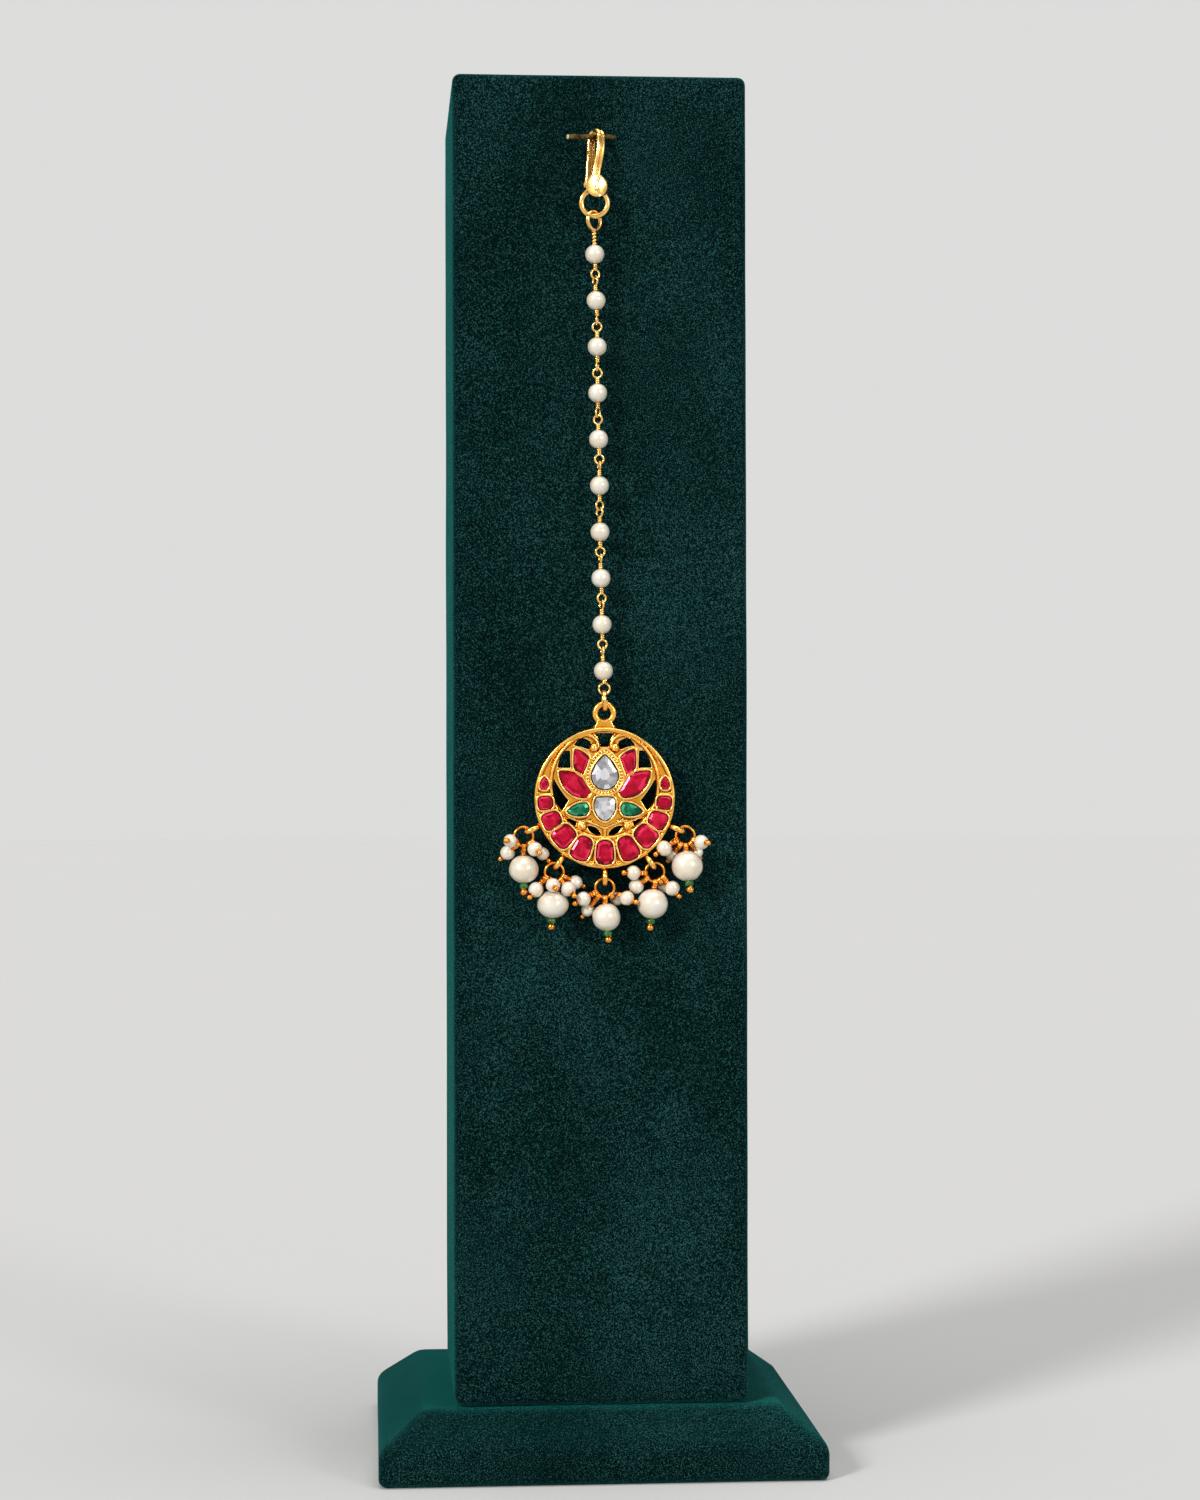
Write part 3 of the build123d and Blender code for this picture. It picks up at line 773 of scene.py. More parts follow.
def wire_along(
    path: Sequence[Vector],
    radius: float,
    closed: bool = False,
    swell: Callable[[float], float] | None = None,
    roundness: int = 3,
) -> bpy.types.Object:
    """Round wire that follows a path in millimetres.

    Args:
        path: Points of the wire's centre line.
        radius: Radius of the wire.
        closed: Whether the wire's ends meet.
        swell: Share of the radius at a share of the path, for tapered wire.
        roundness: Blender's bevel resolution.

    Returns:
        The wire as a mesh.
    """
    curve = bpy.data.curves.new("wire", "CURVE")
    curve.dimensions = "3D"
    curve.bevel_depth = radius * MM
    curve.bevel_resolution = roundness
    curve.use_fill_caps = not closed
    spline = curve.splines.new("POLY")
    spline.points.add(len(path) - 1)
    for number, (point, place) in enumerate(zip(spline.points, path)):
        point.co = (*(place * MM), 1.0)
        if swell is not None:
            point.radius = swell(number / (len(path) - 1))
    spline.use_cyclic_u = closed
    item = bpy.data.objects.new("wire", curve)
    bpy.context.scene.collection.objects.link(item)
    only(item)
    bpy.ops.object.convert(target="MESH")
    return bpy.context.object


def arc(
    centre: Vector, first: Vector, second: Vector, radius: float, start: float, end: float, steps: int
) -> list[Vector]:
    """Points of an arc.

    Args:
        centre: Centre of the arc.
        first: Direction from the centre at no turn.
        second: Direction from the centre at a quarter turn.
        radius: Radius of the arc.
        start: Where it starts, in turns.
        end: Where it ends, in turns.
        steps: Steps between its points.

    Returns:
        The points, one more than the steps.
    """
    angles = [TURN * (start + (end - start) * step / steps) for step in range(steps + 1)]
    return [centre + (first * math.cos(a) + second * math.sin(a)) * radius for a in angles]


def helix(
    start: Vector, end: Vector, side: Vector, radius: float, turns: float, steps_per_turn: int = 14
) -> list[Vector]:
    """Points of a coil round a line.

    Args:
        start: Where the line starts.
        end: Where the line ends.
        side: Direction that the coil starts in.
        radius: Radius of the coil.
        turns: Turns of the coil, negative for the other hand.
        steps_per_turn: Steps in each turn.

    Returns:
        The points from start to end.
    """
    along = (end - start).normalized()
    first = (side - along * side.dot(along)).normalized()
    second = along.cross(first)
    steps = max(2, round(abs(turns) * steps_per_turn))
    points = []
    for step in range(steps + 1):
        share = step / steps
        angle = TURN * turns * share
        spoke = first * math.cos(angle) + second * math.sin(angle)
        points.append(start.lerp(end, share) + spoke * radius)
    return points


def rounded_path(points: Sequence[Vector], steps: int = 8) -> list[Vector]:
    """Smooth line through points, drawn as a Catmull-Rom curve.

    Args:
        points: Points that the line passes through.
        steps: Steps between two of them.

    Returns:
        Points of the smooth line.
    """
    ends = [points[0] * 2 - points[1], *points, points[-1] * 2 - points[-2]]
    smooth_line = []
    for a, b, c, d in zip(ends, ends[1:], ends[2:], ends[3:]):
        for step in range(steps):
            t = step / steps
            square, cube = a * 2 - b * 5 + c * 4 - d, b * 3 - a - c * 3 + d
            smooth_line.append((b * 2 + (c - a) * t + square * t**2 + cube * t**3) / 2)
    return [*smooth_line, points[-1]]


# ---------------------------------------------------------------- measuring the frame


def box_mm(node: str) -> tuple[Vector, Vector]:
    """Lowest and highest corner of a CAD node in millimetres."""
    low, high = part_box(node)
    return low / MM, high / MM


def middle(node: str) -> Vector:
    """Centre of a CAD node's box in millimetres."""
    low, high = box_mm(node)
    return (low + high) / 2


def corners(node: str) -> np.ndarray:
    """Every corner of a CAD node's mesh.

    Args:
        node: Name of the node.

    Returns:
        A row for each corner, in millimetres.
    """
    mesh = frame["nodes"][node].data
    flat = np.zeros(len(mesh.vertices) * 3, np.float32)
    mesh.vertices.foreach_get("co", flat)
    return flat.reshape(-1, 3).astype(float) / MM


def solids(node: str) -> list[np.ndarray]:
    """Corners of each separate solid of a CAD node.

    Args:
        node: Name of the node.

    Returns:
        An array of corners for each solid, in millimetres.
    """
    mesh = frame["nodes"][node].data
    points, index = np.unique(corners(node).round(4), axis=0, return_inverse=True)
    ends = np.zeros(len(mesh.edges) * 2, np.int32)
    mesh.edges.foreach_get("vertices", ends)
    pairs = index.reshape(-1)[ends].reshape(-1, 2)
    label = np.arange(len(points))
    while True:
        spread = label.copy()
        lowest = label[pairs].min(axis=1)
        np.minimum.at(spread, pairs[:, 0], lowest)
        np.minimum.at(spread, pairs[:, 1], lowest)
        spread = spread[spread]
        if (spread == label).all():
            break
        label = spread
    return [points[label == number] for number in np.unique(label)]


def centre_of(points: np.ndarray) -> Vector:
    """Middle of the box round some points."""
    return Vector((points.min(0) + points.max(0)) / 2)


def main_axes(points: np.ndarray) -> list[Vector]:
    """Directions in which points spread most, next and least."""
    spread = points - points.mean(0)
    return [Vector(row) for row in np.linalg.svd(spread, full_matrices=False)[2]]


# ---------------------------------------------------------------- pieces


class Workshop:
    """Names, dresses and places each finished piece, and reports it."""

    def __init__(self, finishes: Finishes) -> None:
        """Keeps the materials."""
        self.finishes = finishes

    def hand_over(self, item: bpy.types.Object, name: str, finish: Finish, body: Body, node: str) -> None:
        """Dresses a piece and hands it to the frame.

        Args:
            item: The piece, at the origin.
            name: Its name.
            finish: Its material and slot.
            body: The body that it rides on.
            node: CAD node that it replaces, or replaces a share of.
        """
        item.name = name
        item.data.name = name
        item.data.materials.clear()
        item.data.materials.append(finish.material)
        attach(item, body.value)
        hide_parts(node)
        triangles = sum(len(face.vertices) - 2 for face in item.data.polygons)
        log.info("%s: %d triangles on %s", name, triangles, body.value)


@dataclass
class VelvetStand:
    """Post on a bevelled foot, both wrapped in velvet, and the pin in the post.

    Attributes:
        workshop: Where the pieces are handed over.
        edge_round: Radius of the wrapped edges.
        fabric_wave: Most that the cloth sinks.
        wave_length: Length of the cloth's waves.
        cell: Size of the cloth's squares.
        most_cuts: Most cuts along one side.
        foot_edge: Height of the foot's upright edge.
        foot_bevel: Width of the foot's slope.
        pin_chamfer: Chamfer of the pin's cut ends.
        pin_cells: Cuts along the pin.
        pin_pit: Depth of the pits in the pin.
        pin_pits_per_metre: Scale of those pits.
        pin_face: Depth of the cut face at the pin's tip.
        pin_smooth: Length behind that face that has no pits.
    """

    workshop: Workshop
    edge_round: float = 1.5
    fabric_wave: float = 0.16
    wave_length: float = 26.0
    cell: float = 3.0
    most_cuts: int = 90
    foot_edge: float = 6.2
    foot_bevel: float = 8.0
    pin_chamfer: float = 0.12
    pin_cells: int = 24
    pin_pit: float = 0.03
    pin_pits_per_metre: float = 1500.0
    pin_face: float = 0.05
    pin_smooth: float = 0.2

    def build(self) -> None:
        """Makes the foot, the post and the pin."""
        self.foot()
        self.post()
        self.pin()

    def board(self, low: Vector, high: Vector) -> bpy.types.Object:
        """Plain board between its lowest and highest corner."""
        bpy.ops.mesh.primitive_cube_add(size=1, location=(low + high) / 2 * MM, scale=(high - low) * MM)
        return settled(bpy.context.object)

    def post(self) -> None:
        """Tall square post."""
        item = self.board(*box_mm("stand_column"))
        self.wrap(item)
        finish = self.workshop.finishes.velvet
        self.workshop.hand_over(item, "velvet_post", finish, Body.STAND, "stand_column")

    def wrap(self, item: bpy.types.Object) -> None:
        """Cuts a board into squares, rounds its edges and lets its cloth wave a little inwards.

        Args:
            item: The board.
        """
        low, high = Vector(item.bound_box[0]) / MM, Vector(item.bound_box[6]) / MM
        ways: list[Callable[[Vector], bool]] = [
            lambda way: abs(way.x) > 0.9,
            lambda way: abs(way.y) > 0.9,
            lambda way: abs(way.z) > 0.3,
        ]
        for axis, runs_along in enumerate(ways):
            cuts = max(1, round((high - low)[axis] / self.cell) - 1)
            with editing(item, "EDGE"):
                pick_edges(
                    item, lambda edge: runs_along((edge.verts[1].co - edge.verts[0].co).normalized())
                )
                bpy.ops.mesh.subdivide(number_cuts=min(cuts, self.most_cuts))
        with editing(item, "EDGE"):
            pick_edges(item, lambda edge: edge.calc_face_angle(0.0) > 0.3)
            bpy.ops.mesh.bevel(offset=self.edge_round * MM, segments=5, profile=0.5, affect="EDGES")
        for vertex in item.data.vertices:
            place = vertex.co / MM
            sink = self.fabric_wave * (0.5 + 0.5 * noise.noise(place / self.wave_length))
            vertex.co -= vertex.normal * sink * MM
        smooth(item)

    def foot(self) -> None:
        """Square foot with a sloping top."""
        low, high = box_mm("stand_base")
        edge_top = Vector((high.x, high.y, low.z + self.foot_edge))
        item = self.board(low, edge_top)
        rise = high.z - edge_top.z
        shrink = [1 - 2 * self.foot_bevel / side for side in (high.x - low.x, high.y - low.y)]
        with editing(item):
            pick_faces(item, lambda face: face.normal.z > 0.9)
            bpy.ops.mesh.extrude_region_move(TRANSFORM_OT_translate={"value": (0, 0, rise * MM)})
            bpy.ops.transform.resize(value=(shrink[0], shrink[1], 1))
        self.wrap(item)
        self.workshop.hand_over(item, "velvet_foot", self.workshop.finishes.velvet, Body.STAND, "stand_base")

    def pin(self) -> None:
        """Cut rod that slants out of the post."""
        points = corners("stand_pin")
        along = main_axes(points)[0]
        if along.y > 0:
            along.negate()
        reach = points @ np.array(along)
        centre = Vector(points.mean(0))
        tip = centre + along * (reach.max() - centre.dot(along))
        root = centre + along * (reach.min() - centre.dot(along))
        spokes = [Vector(point) - centre for point in points[::7]]
        radius = max((spoke - along * spoke.dot(along)).length for spoke in spokes)
        bpy.ops.mesh.primitive_cylinder_add(
            vertices=28,
            radius=radius * MM,
            depth=(tip - root).length * MM,
            location=(tip + root) / 2 * MM,
            rotation=along.to_track_quat("Z", "Y").to_euler(),
        )
        item = settled(bpy.context.object)
        with editing(item, "EDGE"):
            pick_edges(item, lambda edge: any(len(face.verts) > 4 for face in edge.link_faces))
            bpy.ops.mesh.bevel(offset=self.pin_chamfer * MM, segments=2, affect="EDGES")
        with editing(item, "EDGE"):
            pick_edges(item, lambda edge: edge.calc_length() > 2 * MM)
            bpy.ops.mesh.subdivide(number_cuts=self.pin_cells)
        cut_from = (tip * MM - along * self.pin_face * MM).dot(along)
        for vertex in item.data.vertices:
            if vertex.co.dot(along) < cut_from - self.pin_smooth * MM:
                bulge = noise.noise(vertex.co * self.pin_pits_per_metre)
                vertex.co += vertex.normal * bulge * self.pin_pit * MM
        cut = item.data.attributes.new("cut_end", "FLOAT", "FACE")
        for face in item.data.polygons:
            cut.data[face.index].value = float(face.center.dot(along) > cut_from)
        smooth(item, 40)
        self.workshop.hand_over(item, "brass_pin", self.workshop.finishes.brass, Body.STAND, "stand_pin")


@dataclass
class HairHook:
    """Hook of one doubled wire with a soldered eye, a domed cap and a thick ring below it.

    Attributes:
        workshop: Where the pieces are handed over.
        pin_root: Place on the pin's line that the hook is set out from.
        pin_reach: From there to the pin's tip.
        share_on_pin: Share of that reach at which the hook hangs.
        drop: Distance from the pin's line down to the middle of the hook's bend.
        wire: Radius of the doubled wire.
        strand_offset: Half of the distance between its two strands.
        bend: Radius of the bend over the pin.
        sway: Lean of the hook along the pin, in degrees.
        tail_splay: Turn of the tail behind the pin, in degrees.
        tail_length: Length of the tail.
        tail_tip: Part of that length that is curled.
        front_splay: Turn of the front strands, in degrees.
        front_length: Length of the front strands.
        front_bow: Bulge of the front strands.
        front_bow_waves: Half waves in that bulge.
        eye_radius: Radius of the eye.
        eye_wire: Radius of the eye's wire.
        cap_radius: Radius of the cap.
        cap_turn: Turn of the cap to the right, in degrees.
        cap_rise: Height of the cap over the eye's centre.
        cap_standoff: Distance from the eye's centre to the cap's back.
        cap_dome: Height of the cap's front.
        cap_back: Height of its back as a share of that.
        groove_reach: Distance from the cap's centre to the middle of the groove's arc.
        groove_radius: Radius of that arc.
        groove_depth: Depth of the groove.
        groove_width: Half width of the groove.
        boss_radius: Radius of the boss between the eye and the cap.
        ring_radius: Radius of the ring below the hook.
        ring_wire: Radius of its wire.
        ring_start: Where its wire starts, in turns.
        ring_seam: Half of the gap between its ends, in turns.
    """

    workshop: Workshop
    pin_root: Vector = field(default_factory=lambda: Vector((2.1, -30.0, 239.6)))
    pin_reach: Vector = field(default_factory=lambda: Vector((-8.3, -6.0, -1.25)))
    share_on_pin: float = 0.351
    drop: float = 0.23
    wire: float = 0.46
    strand_offset: float = 0.44
    bend: float = 1.28
    sway: float = 8.5
    tail_splay: float = -5.0
    tail_length: float = 8.6
    tail_tip: float = 1.1
    front_splay: float = -0.3
    front_length: float = 8.69
    front_bow: float = 0.22
    front_bow_waves: float = 1.6
    eye_radius: float = 1.0
    eye_wire: float = 0.4
    cap_radius: float = 2.0
    cap_turn: float = 15.0
    cap_rise: float = 0.6
    cap_standoff: float = 1.15
    cap_dome: float = 0.14
    cap_back: float = 0.35
    groove_reach: float = 3.1
    groove_radius: float = 3.0
    groove_depth: float = 0.11
    groove_width: float = 0.16
    boss_radius: float = 0.55
    ring_radius: float = 2.33
    ring_wire: float = 0.52
    ring_start: float = 0.11
    ring_seam: float = 0.006

    def build(self) -> None:
        """Makes the hook and its ring."""
        self.hook()
        self.ring()

    def path(self) -> list[Vector]:
        """Centre line of the doubled wire in the hook's own plane: x forward and y up."""
        tail, front = math.radians(self.tail_splay), math.radians(self.front_splay)
        foot_to_bend = []
        for share in np.linspace(1.0, 0.0, 9)[:-1]:
            reach = self.front_length * share
            bow = self.front_bow * math.sin(math.pi * share * self.front_bow_waves) * (1 - share)
            foot_to_bend.append(
                Vector((
                    self.bend * math.cos(front) + math.sin(front) * reach + bow * 2,
                    self.bend * math.sin(front) - math.cos(front) * reach,
                    0,
                ))
            )
        over = [
            Vector((math.cos(angle) * self.bend, math.sin(angle) * self.bend, 0))
            for angle in np.linspace(front, math.pi - tail, 17)
        ]
        down = Vector((-math.sin(tail), -math.cos(tail), 0))
        straight = self.tail_length - self.tail_tip
        tail_line = [over[-1] + down * reach for reach in np.linspace(0, straight, 6)[1:]]
        curl = [tail_line[-1] + Vector((-0.05, -0.5, 0)), tail_line[-1] + Vector((-0.28, -0.85, 0))]
        return rounded_path([*foot_to_bend, *over, *tail_line, *curl])

    def hook(self) -> None:
        """Doubled wire over the pin, with the eye and the cap."""
        heading = Vector((self.pin_reach.x, self.pin_reach.y, 0)).normalized()
        front = UP.cross(heading)
        sway = math.radians(self.sway)
        up = UP * math.cos(sway) - heading * math.sin(sway)
        side = front.cross(up)
        crown = self.pin_root + self.pin_reach * self.share_on_pin - UP * self.drop
        line = self.path()
        near, far = (
            [crown + front * point.x + up * point.y + side * offset for point in line]
            for offset in (-self.strand_offset, self.strand_offset)
        )
        fold_way = (near[-1] - near[-2]).normalized()
        fold = arc((near[-1] + far[-1]) / 2, -side, fold_way, self.strand_offset, 0.0, 0.5, 8)[1:-1]
        wires = smooth(wire_along([*near, *fold, *reversed(far)], self.wire, roundness=5), 50)

        turn = math.radians(self.front_splay)
        foot = Vector((math.cos(turn) * self.bend, math.sin(turn) * self.bend, 0))
        foot += Vector((math.sin(turn), -math.cos(turn), 0)) * (self.front_length + self.eye_radius)
        eye_centre = crown + front * foot.x + up * foot.y
        eye = smooth(hoop(eye_centre, RIGHT, self.eye_radius, self.eye_wire))
        facing = math.radians(self.cap_turn)
        normal = Vector((math.sin(facing), -math.cos(facing), 0))
        cap_back = eye_centre + UP * self.cap_rise + normal * self.cap_standoff
        cap = smooth(self.cap(cap_back, normal))
        bpy.ops.mesh.primitive_cylinder_add(
            vertices=24,
            radius=self.boss_radius * MM,
            depth=self.cap_standoff * 1.2 * MM,
            location=(cap_back - normal * self.cap_standoff / 2) * MM,
            rotation=normal.to_track_quat("Z", "Y").to_euler(),
        )
        boss = smooth(settled(bpy.context.object), 50)
        item = joined(wires, eye, cap, boss)
        self.workshop.hand_over(item, "hair_hook", self.workshop.finishes.wire, Body.STAND, "hook")

    def cap(self, back: Vector, normal: Vector) -> bpy.types.Object:
        """Domed button with a curved groove across its face.

        Args:
            back: Centre of its back.
            normal: Direction that it faces.

        Returns:
            The button.
        """
        bpy.ops.mesh.primitive_uv_sphere_add(segments=96, ring_count=64, radius=1)
        dome = bpy.context.object
        dome.scale = Vector((self.cap_radius, self.cap_radius, self.cap_dome)) * MM
        settled(dome)
        for vertex in dome.data.vertices:
            x, y, z = vertex.co / MM
            if z < 0:
                vertex.co.z *= self.cap_back
            away = math.hypot(x - self.groove_reach, y) - self.groove_radius
            if z > 0:
                vertex.co.z -= self.groove_depth * MM * math.exp(-((away / self.groove_width) ** 2))
        turn = normal.to_track_quat("Z", "Y").to_matrix().to_4x4()
        dome.data.transform(Matrix.Translation(back * MM) @ turn)
        return dome

    def ring(self) -> None:
        """Thick ring below the hook, its wire ends meeting in a hairline seam."""
        start = self.ring_start + self.ring_seam
        end = self.ring_start + 1 - self.ring_seam
        path = arc(middle("hook_ring"), RIGHT, UP, self.ring_radius, start, end, 90)
        item = smooth(wire_along(path, self.ring_wire, roundness=6), 50)
        self.workshop.hand_over(item, "hook_ring_wire", self.workshop.finishes.wire, Body.STAND, "hook_ring")


@dataclass
class PearlChain:
    """Ten pearls on wires whose ends are turned into linked loops and wrapped.

    Attributes:
        workshop: Where the pieces are handed over.
        pearls: Number of pearls.
        wire: Radius of the wire.
        wrap_wire: Radius of the wire of the wrapped necks.
        wrap_radius: Radius of their coils.
        wraps: Turns of a neck.
        loop_radius: Radius of a loop.
        loop_steps: Steps round a loop.
        loop_wire_in_frame: Radius of the frame's wire.
        top_loop_radius: Radius of the doubled loop at the top.
        top_loop_wire: Radius of its wire.
        top_loop_offset: Half of the distance between its two turns.
        top_loop_turn: Turn of its plane, in degrees.
        top_loop_steps: Steps round its two turns.
        top_wraps: Turns of the neck below it.
        last_loop_radius: Radius of the last loop.
        pearl_radius: Radius of a pearl.
        pearl_hole: Radius of its hole.
        pearl_gap: Distance from the pearl to the wraps.
        roundness_error: Share of the radius by which a pearl is out of round.
    """

    workshop: Workshop
    pearls: int = 10
    wire: float = 0.21
    wrap_wire: float = 0.18
    wrap_radius: float = 0.3
    wraps: float = 3.0
    loop_radius: float = 0.8
    loop_steps: int = 30
    loop_wire_in_frame: float = 0.2
    top_loop_radius: float = 1.7
    top_loop_wire: float = 0.27
    top_loop_offset: float = 0.25
    top_loop_turn: float = 43.0
    top_loop_steps: int = 56
    top_wraps: float = 4.5
    last_loop_radius: float = 0.98
    pearl_radius: float = 1.69
    pearl_hole: float = 0.26
    pearl_gap: float = 0.02
    roundness_error: float = 0.012

    def build(self) -> None:
        """Makes each pearl and the link through it."""
        finishes = self.workshop.finishes
        beads = sorted((centre_of(points) for points in solids("chain_pearls")), key=lambda c: -c.z)
        base = self.bead()
        for number, centre in enumerate(beads, start=1):
            node = f"chain_link_{number:02d}"
            top, top_side = self.loop(node, number, above=True)
            bottom, bottom_side = self.loop(node, number, above=False)
            axis = (bottom - top).normalized()
            turn = axis.to_track_quat("Z", "Y") @ Quaternion((0, 0, 1), number * 1.7)
            matrix = Matrix.Translation(centre * MM) @ turn.to_matrix().to_4x4()
            bead = copied(base, matrix)
            name = f"chain_pearl_{number:02d}"
            self.workshop.hand_over(bead, name, finishes.pearl, Body.STAND, "chain_pearls")
            link = self.link(number, centre, top, top_side, bottom, bottom_side)
            self.workshop.hand_over(link, f"wire_link_{number:02d}", finishes.wire, Body.STAND, node)
        bpy.data.objects.remove(base)

    def bead(self) -> bpy.types.Object:
        """Nearly round pearl with a dimple at each end of its hole."""
        return pearl_shape(self.pearl_radius, self.pearl_radius, self.roundness_error, self.pearl_hole, SEED)

    def radii(self, number: int, above: bool) -> tuple[float, float]:
        """Sizes of a link's loop in the frame.

        Args:
            number: The link's number from the top.
            above: Whether it is the upper loop.

        Returns:
            Radius of the loop and radius of its wire.
        """
        if above and number == 1:
            return self.top_loop_radius, self.top_loop_wire
        if not above and number == self.pearls:
            return self.last_loop_radius, self.loop_wire_in_frame
        return self.loop_radius, self.loop_wire_in_frame

    def loop(self, node: str, number: int, above: bool) -> tuple[Vector, Vector]:
        """Finds a loop of a link in the frame.

        Args:
            node: The link's node.
            number: The link's number from the top.
            above: Whether it is the upper loop.

        Returns:
            The loop's centre and the level direction in its plane.
        """
        radius, wire = self.radii(number, above)
        points = corners(node)
        edge = points[:, 2].max() if above else points[:, 2].min()
        near = points[np.abs(points[:, 2] - edge) < radius + wire]
        middle_xy = (near[:, :2].min(0) + near[:, :2].max(0)) / 2
        side = np.linalg.svd(near[:, :2] - middle_xy, full_matrices=False)[2][0]
        if radius == self.top_loop_radius:
            turn = math.radians(self.top_loop_turn)
            side = np.array((math.cos(turn), math.sin(turn)))
        height = edge - (radius + wire) * (1 if above else -1)
        return Vector((*middle_xy, height)), Vector((*side, 0))

    def link(
        self, number: int, bead: Vector, top: Vector, top_side: Vector, bottom: Vector, bottom_side: Vector
    ) -> bpy.types.Object:
        """One link: a wrapped loop above the pearl, a shank through it and a wrapped loop below.

        Args:
            number: The link's number from the top.
            bead: Centre of its pearl.
            top: Centre of its upper loop.
            top_side: Level direction in that loop's plane.
            bottom: Centre of its lower loop.
            bottom_side: Level direction in that loop's plane.

        Returns:
            The link.
        """
        top_radius, _ = self.radii(number, True)
        bottom_radius, _ = self.radii(number, False)
        start = top - UP * top_radius
        finish = bottom + UP * bottom_radius
        axis = (finish - start).normalized()
        pearl_top = bead - axis * (self.pearl_radius + self.pearl_gap)
        pearl_bottom = bead + axis * (self.pearl_radius + self.pearl_gap)
        if number == 1:
            normal = top_side.cross(UP)
            steps = self.top_loop_steps
            coil = [
                point + normal * self.top_loop_offset * (2 * step / steps - 1)
                for step, point in enumerate(arc(top, -UP, top_side, top_radius, 0.0, 2.0, steps))
            ]
            upper = smooth(wire_along(coil, self.top_loop_wire, roundness=4), 50)
            neck = start + normal * self.top_loop_offset
            stem = wire_along([neck, start + axis * 0.4, pearl_top], self.wire + 0.03, roundness=3)
            parts = [upper, smooth(stem, 50)]
            first_wrap, turns, wrap_radius = start - axis * 0.1, self.top_wraps, self.wrap_radius + 0.05
        else:
            oval = arc(top, -UP, top_side, top_radius, 0.0, 1.0, self.loop_steps)
            parts = [smooth(wire_along([*oval, start + axis * 0.3, pearl_top], self.wire), 50)]
            first_wrap, turns, wrap_radius = start - axis * 0.02, self.wraps, self.wrap_radius
        coils = helix(first_wrap, pearl_top, top_side, wrap_radius, turns + 0.07 * (number % 4))
        parts.append(smooth(wire_along(coils, self.wrap_wire), 50))
        turns_below = -self.wraps + 0.06 * (number % 5)
        coils = helix(finish + axis * 0.02, pearl_bottom, bottom_side, self.wrap_radius, turns_below)
        parts.append(smooth(wire_along(coils, self.wrap_wire), 50))
        shank = [pearl_top - axis * 0.1, pearl_bottom, finish - axis * 0.3]
        oval = arc(bottom, UP, bottom_side, bottom_radius, 0.0, 1.0, self.loop_steps)
        parts.append(smooth(wire_along([*shank, *oval], self.wire), 50))
        return joined(*parts)


def pearl_shape(width: float, height: float, error: float, hole: float, seed: int) -> bpy.types.Object:
    """Pearl at the origin with its hole along Z.

    Args:
        width: Radius across the hole, in millimetres.
        height: Radius along the hole.
        error: Share of the radius by which it is out of round.
        hole: Radius of the hole.
        seed: Number that picks the unevenness.

    Returns:
        The pearl.
    """
    bpy.ops.mesh.primitive_uv_sphere_add(segments=48, ring_count=32, radius=1)
    item = bpy.context.object
    shift = Vector((seed * 3.7, seed * 1.3, seed * 5.1))
    for vertex in item.data.vertices:
        spoke = vertex.co.normalized()
        swell = 1 + error * 2 * noise.noise(spoke * 1.1 + shift) + error * noise.noise(spoke * 2.7 + shift)
        across = math.hypot(spoke.x, spoke.y) * width
        dimple = 1 - 0.22 * math.exp(-((across / hole / 1.15) ** 2))
        vertex.co = Vector((spoke.x * width, spoke.y * width, spoke.z * height * dimple)) * swell * MM
    return smooth(item)


class Cut(Enum):
    """Cuts of the stones."""

    CUSHION = "cushion"
    HORN = "horn"
    PETAL = "petal"
    LEAF = "leaf"
    PEAR = "pear"
    SHIELD = "shield"


@dataclass(frozen=True)
class CutShape:
    """How a stone is cut.

    Attributes:
        facet_turn: Least turn between two facets, in degrees.
        rounding: Passes that round the corners of the seat's outline.
        growth: Size of the stone's face over the size of its seat.
        tiers: Share of the outline and height over the girdle, tier by tier.
    """

    facet_turn: float
    rounding: int
    growth: float
    tiers: tuple[tuple[float, float], ...]


SHAPES = {
    Cut.CUSHION: CutShape(24.0, 14, 1.03, ((0.95, 0.12), (0.74, 0.29), (0.48, 0.36))),
    Cut.HORN: CutShape(24.0, 3, 1.32, ((0.94, 0.10), (0.66, 0.27), (0.36, 0.32))),
    Cut.PETAL: CutShape(22.0, 2, 1.09, ((0.96, 0.12), (0.76, 0.29), (0.46, 0.37))),
    Cut.LEAF: CutShape(24.0, 2, 1.05, ((0.95, 0.11), (0.66, 0.28), (0.36, 0.34))),
    Cut.PEAR: CutShape(24.0, 1, 1.0, ((0.96, 0.12), (0.68, 0.38), (0.36, 0.50))),
    Cut.SHIELD: CutShape(28.0, 3, 1.06, ((0.95, 0.12), (0.62, 0.35), (0.30, 0.45))),
}


def even_loop(ring: Sequence[Vector], count: int) -> list[Vector]:
    """Points at even steps round a closed outline.

    Args:
        ring: Corners of the outline.
        count: Number of points.

    Returns:
        The points, from the first corner on.
    """
    steps = [(after - point).length for point, after in zip(ring, [*ring[1:], ring[0]])]
    around, loop, number, passed = sum(steps), [], 0, 0.0
    for mark in range(count):
        travel = around * mark / count
        while passed + steps[number] < travel:
            passed += steps[number]
            number += 1
        loop.append(ring[number].lerp(ring[(number + 1) % len(ring)], (travel - passed) / steps[number]))
    return loop


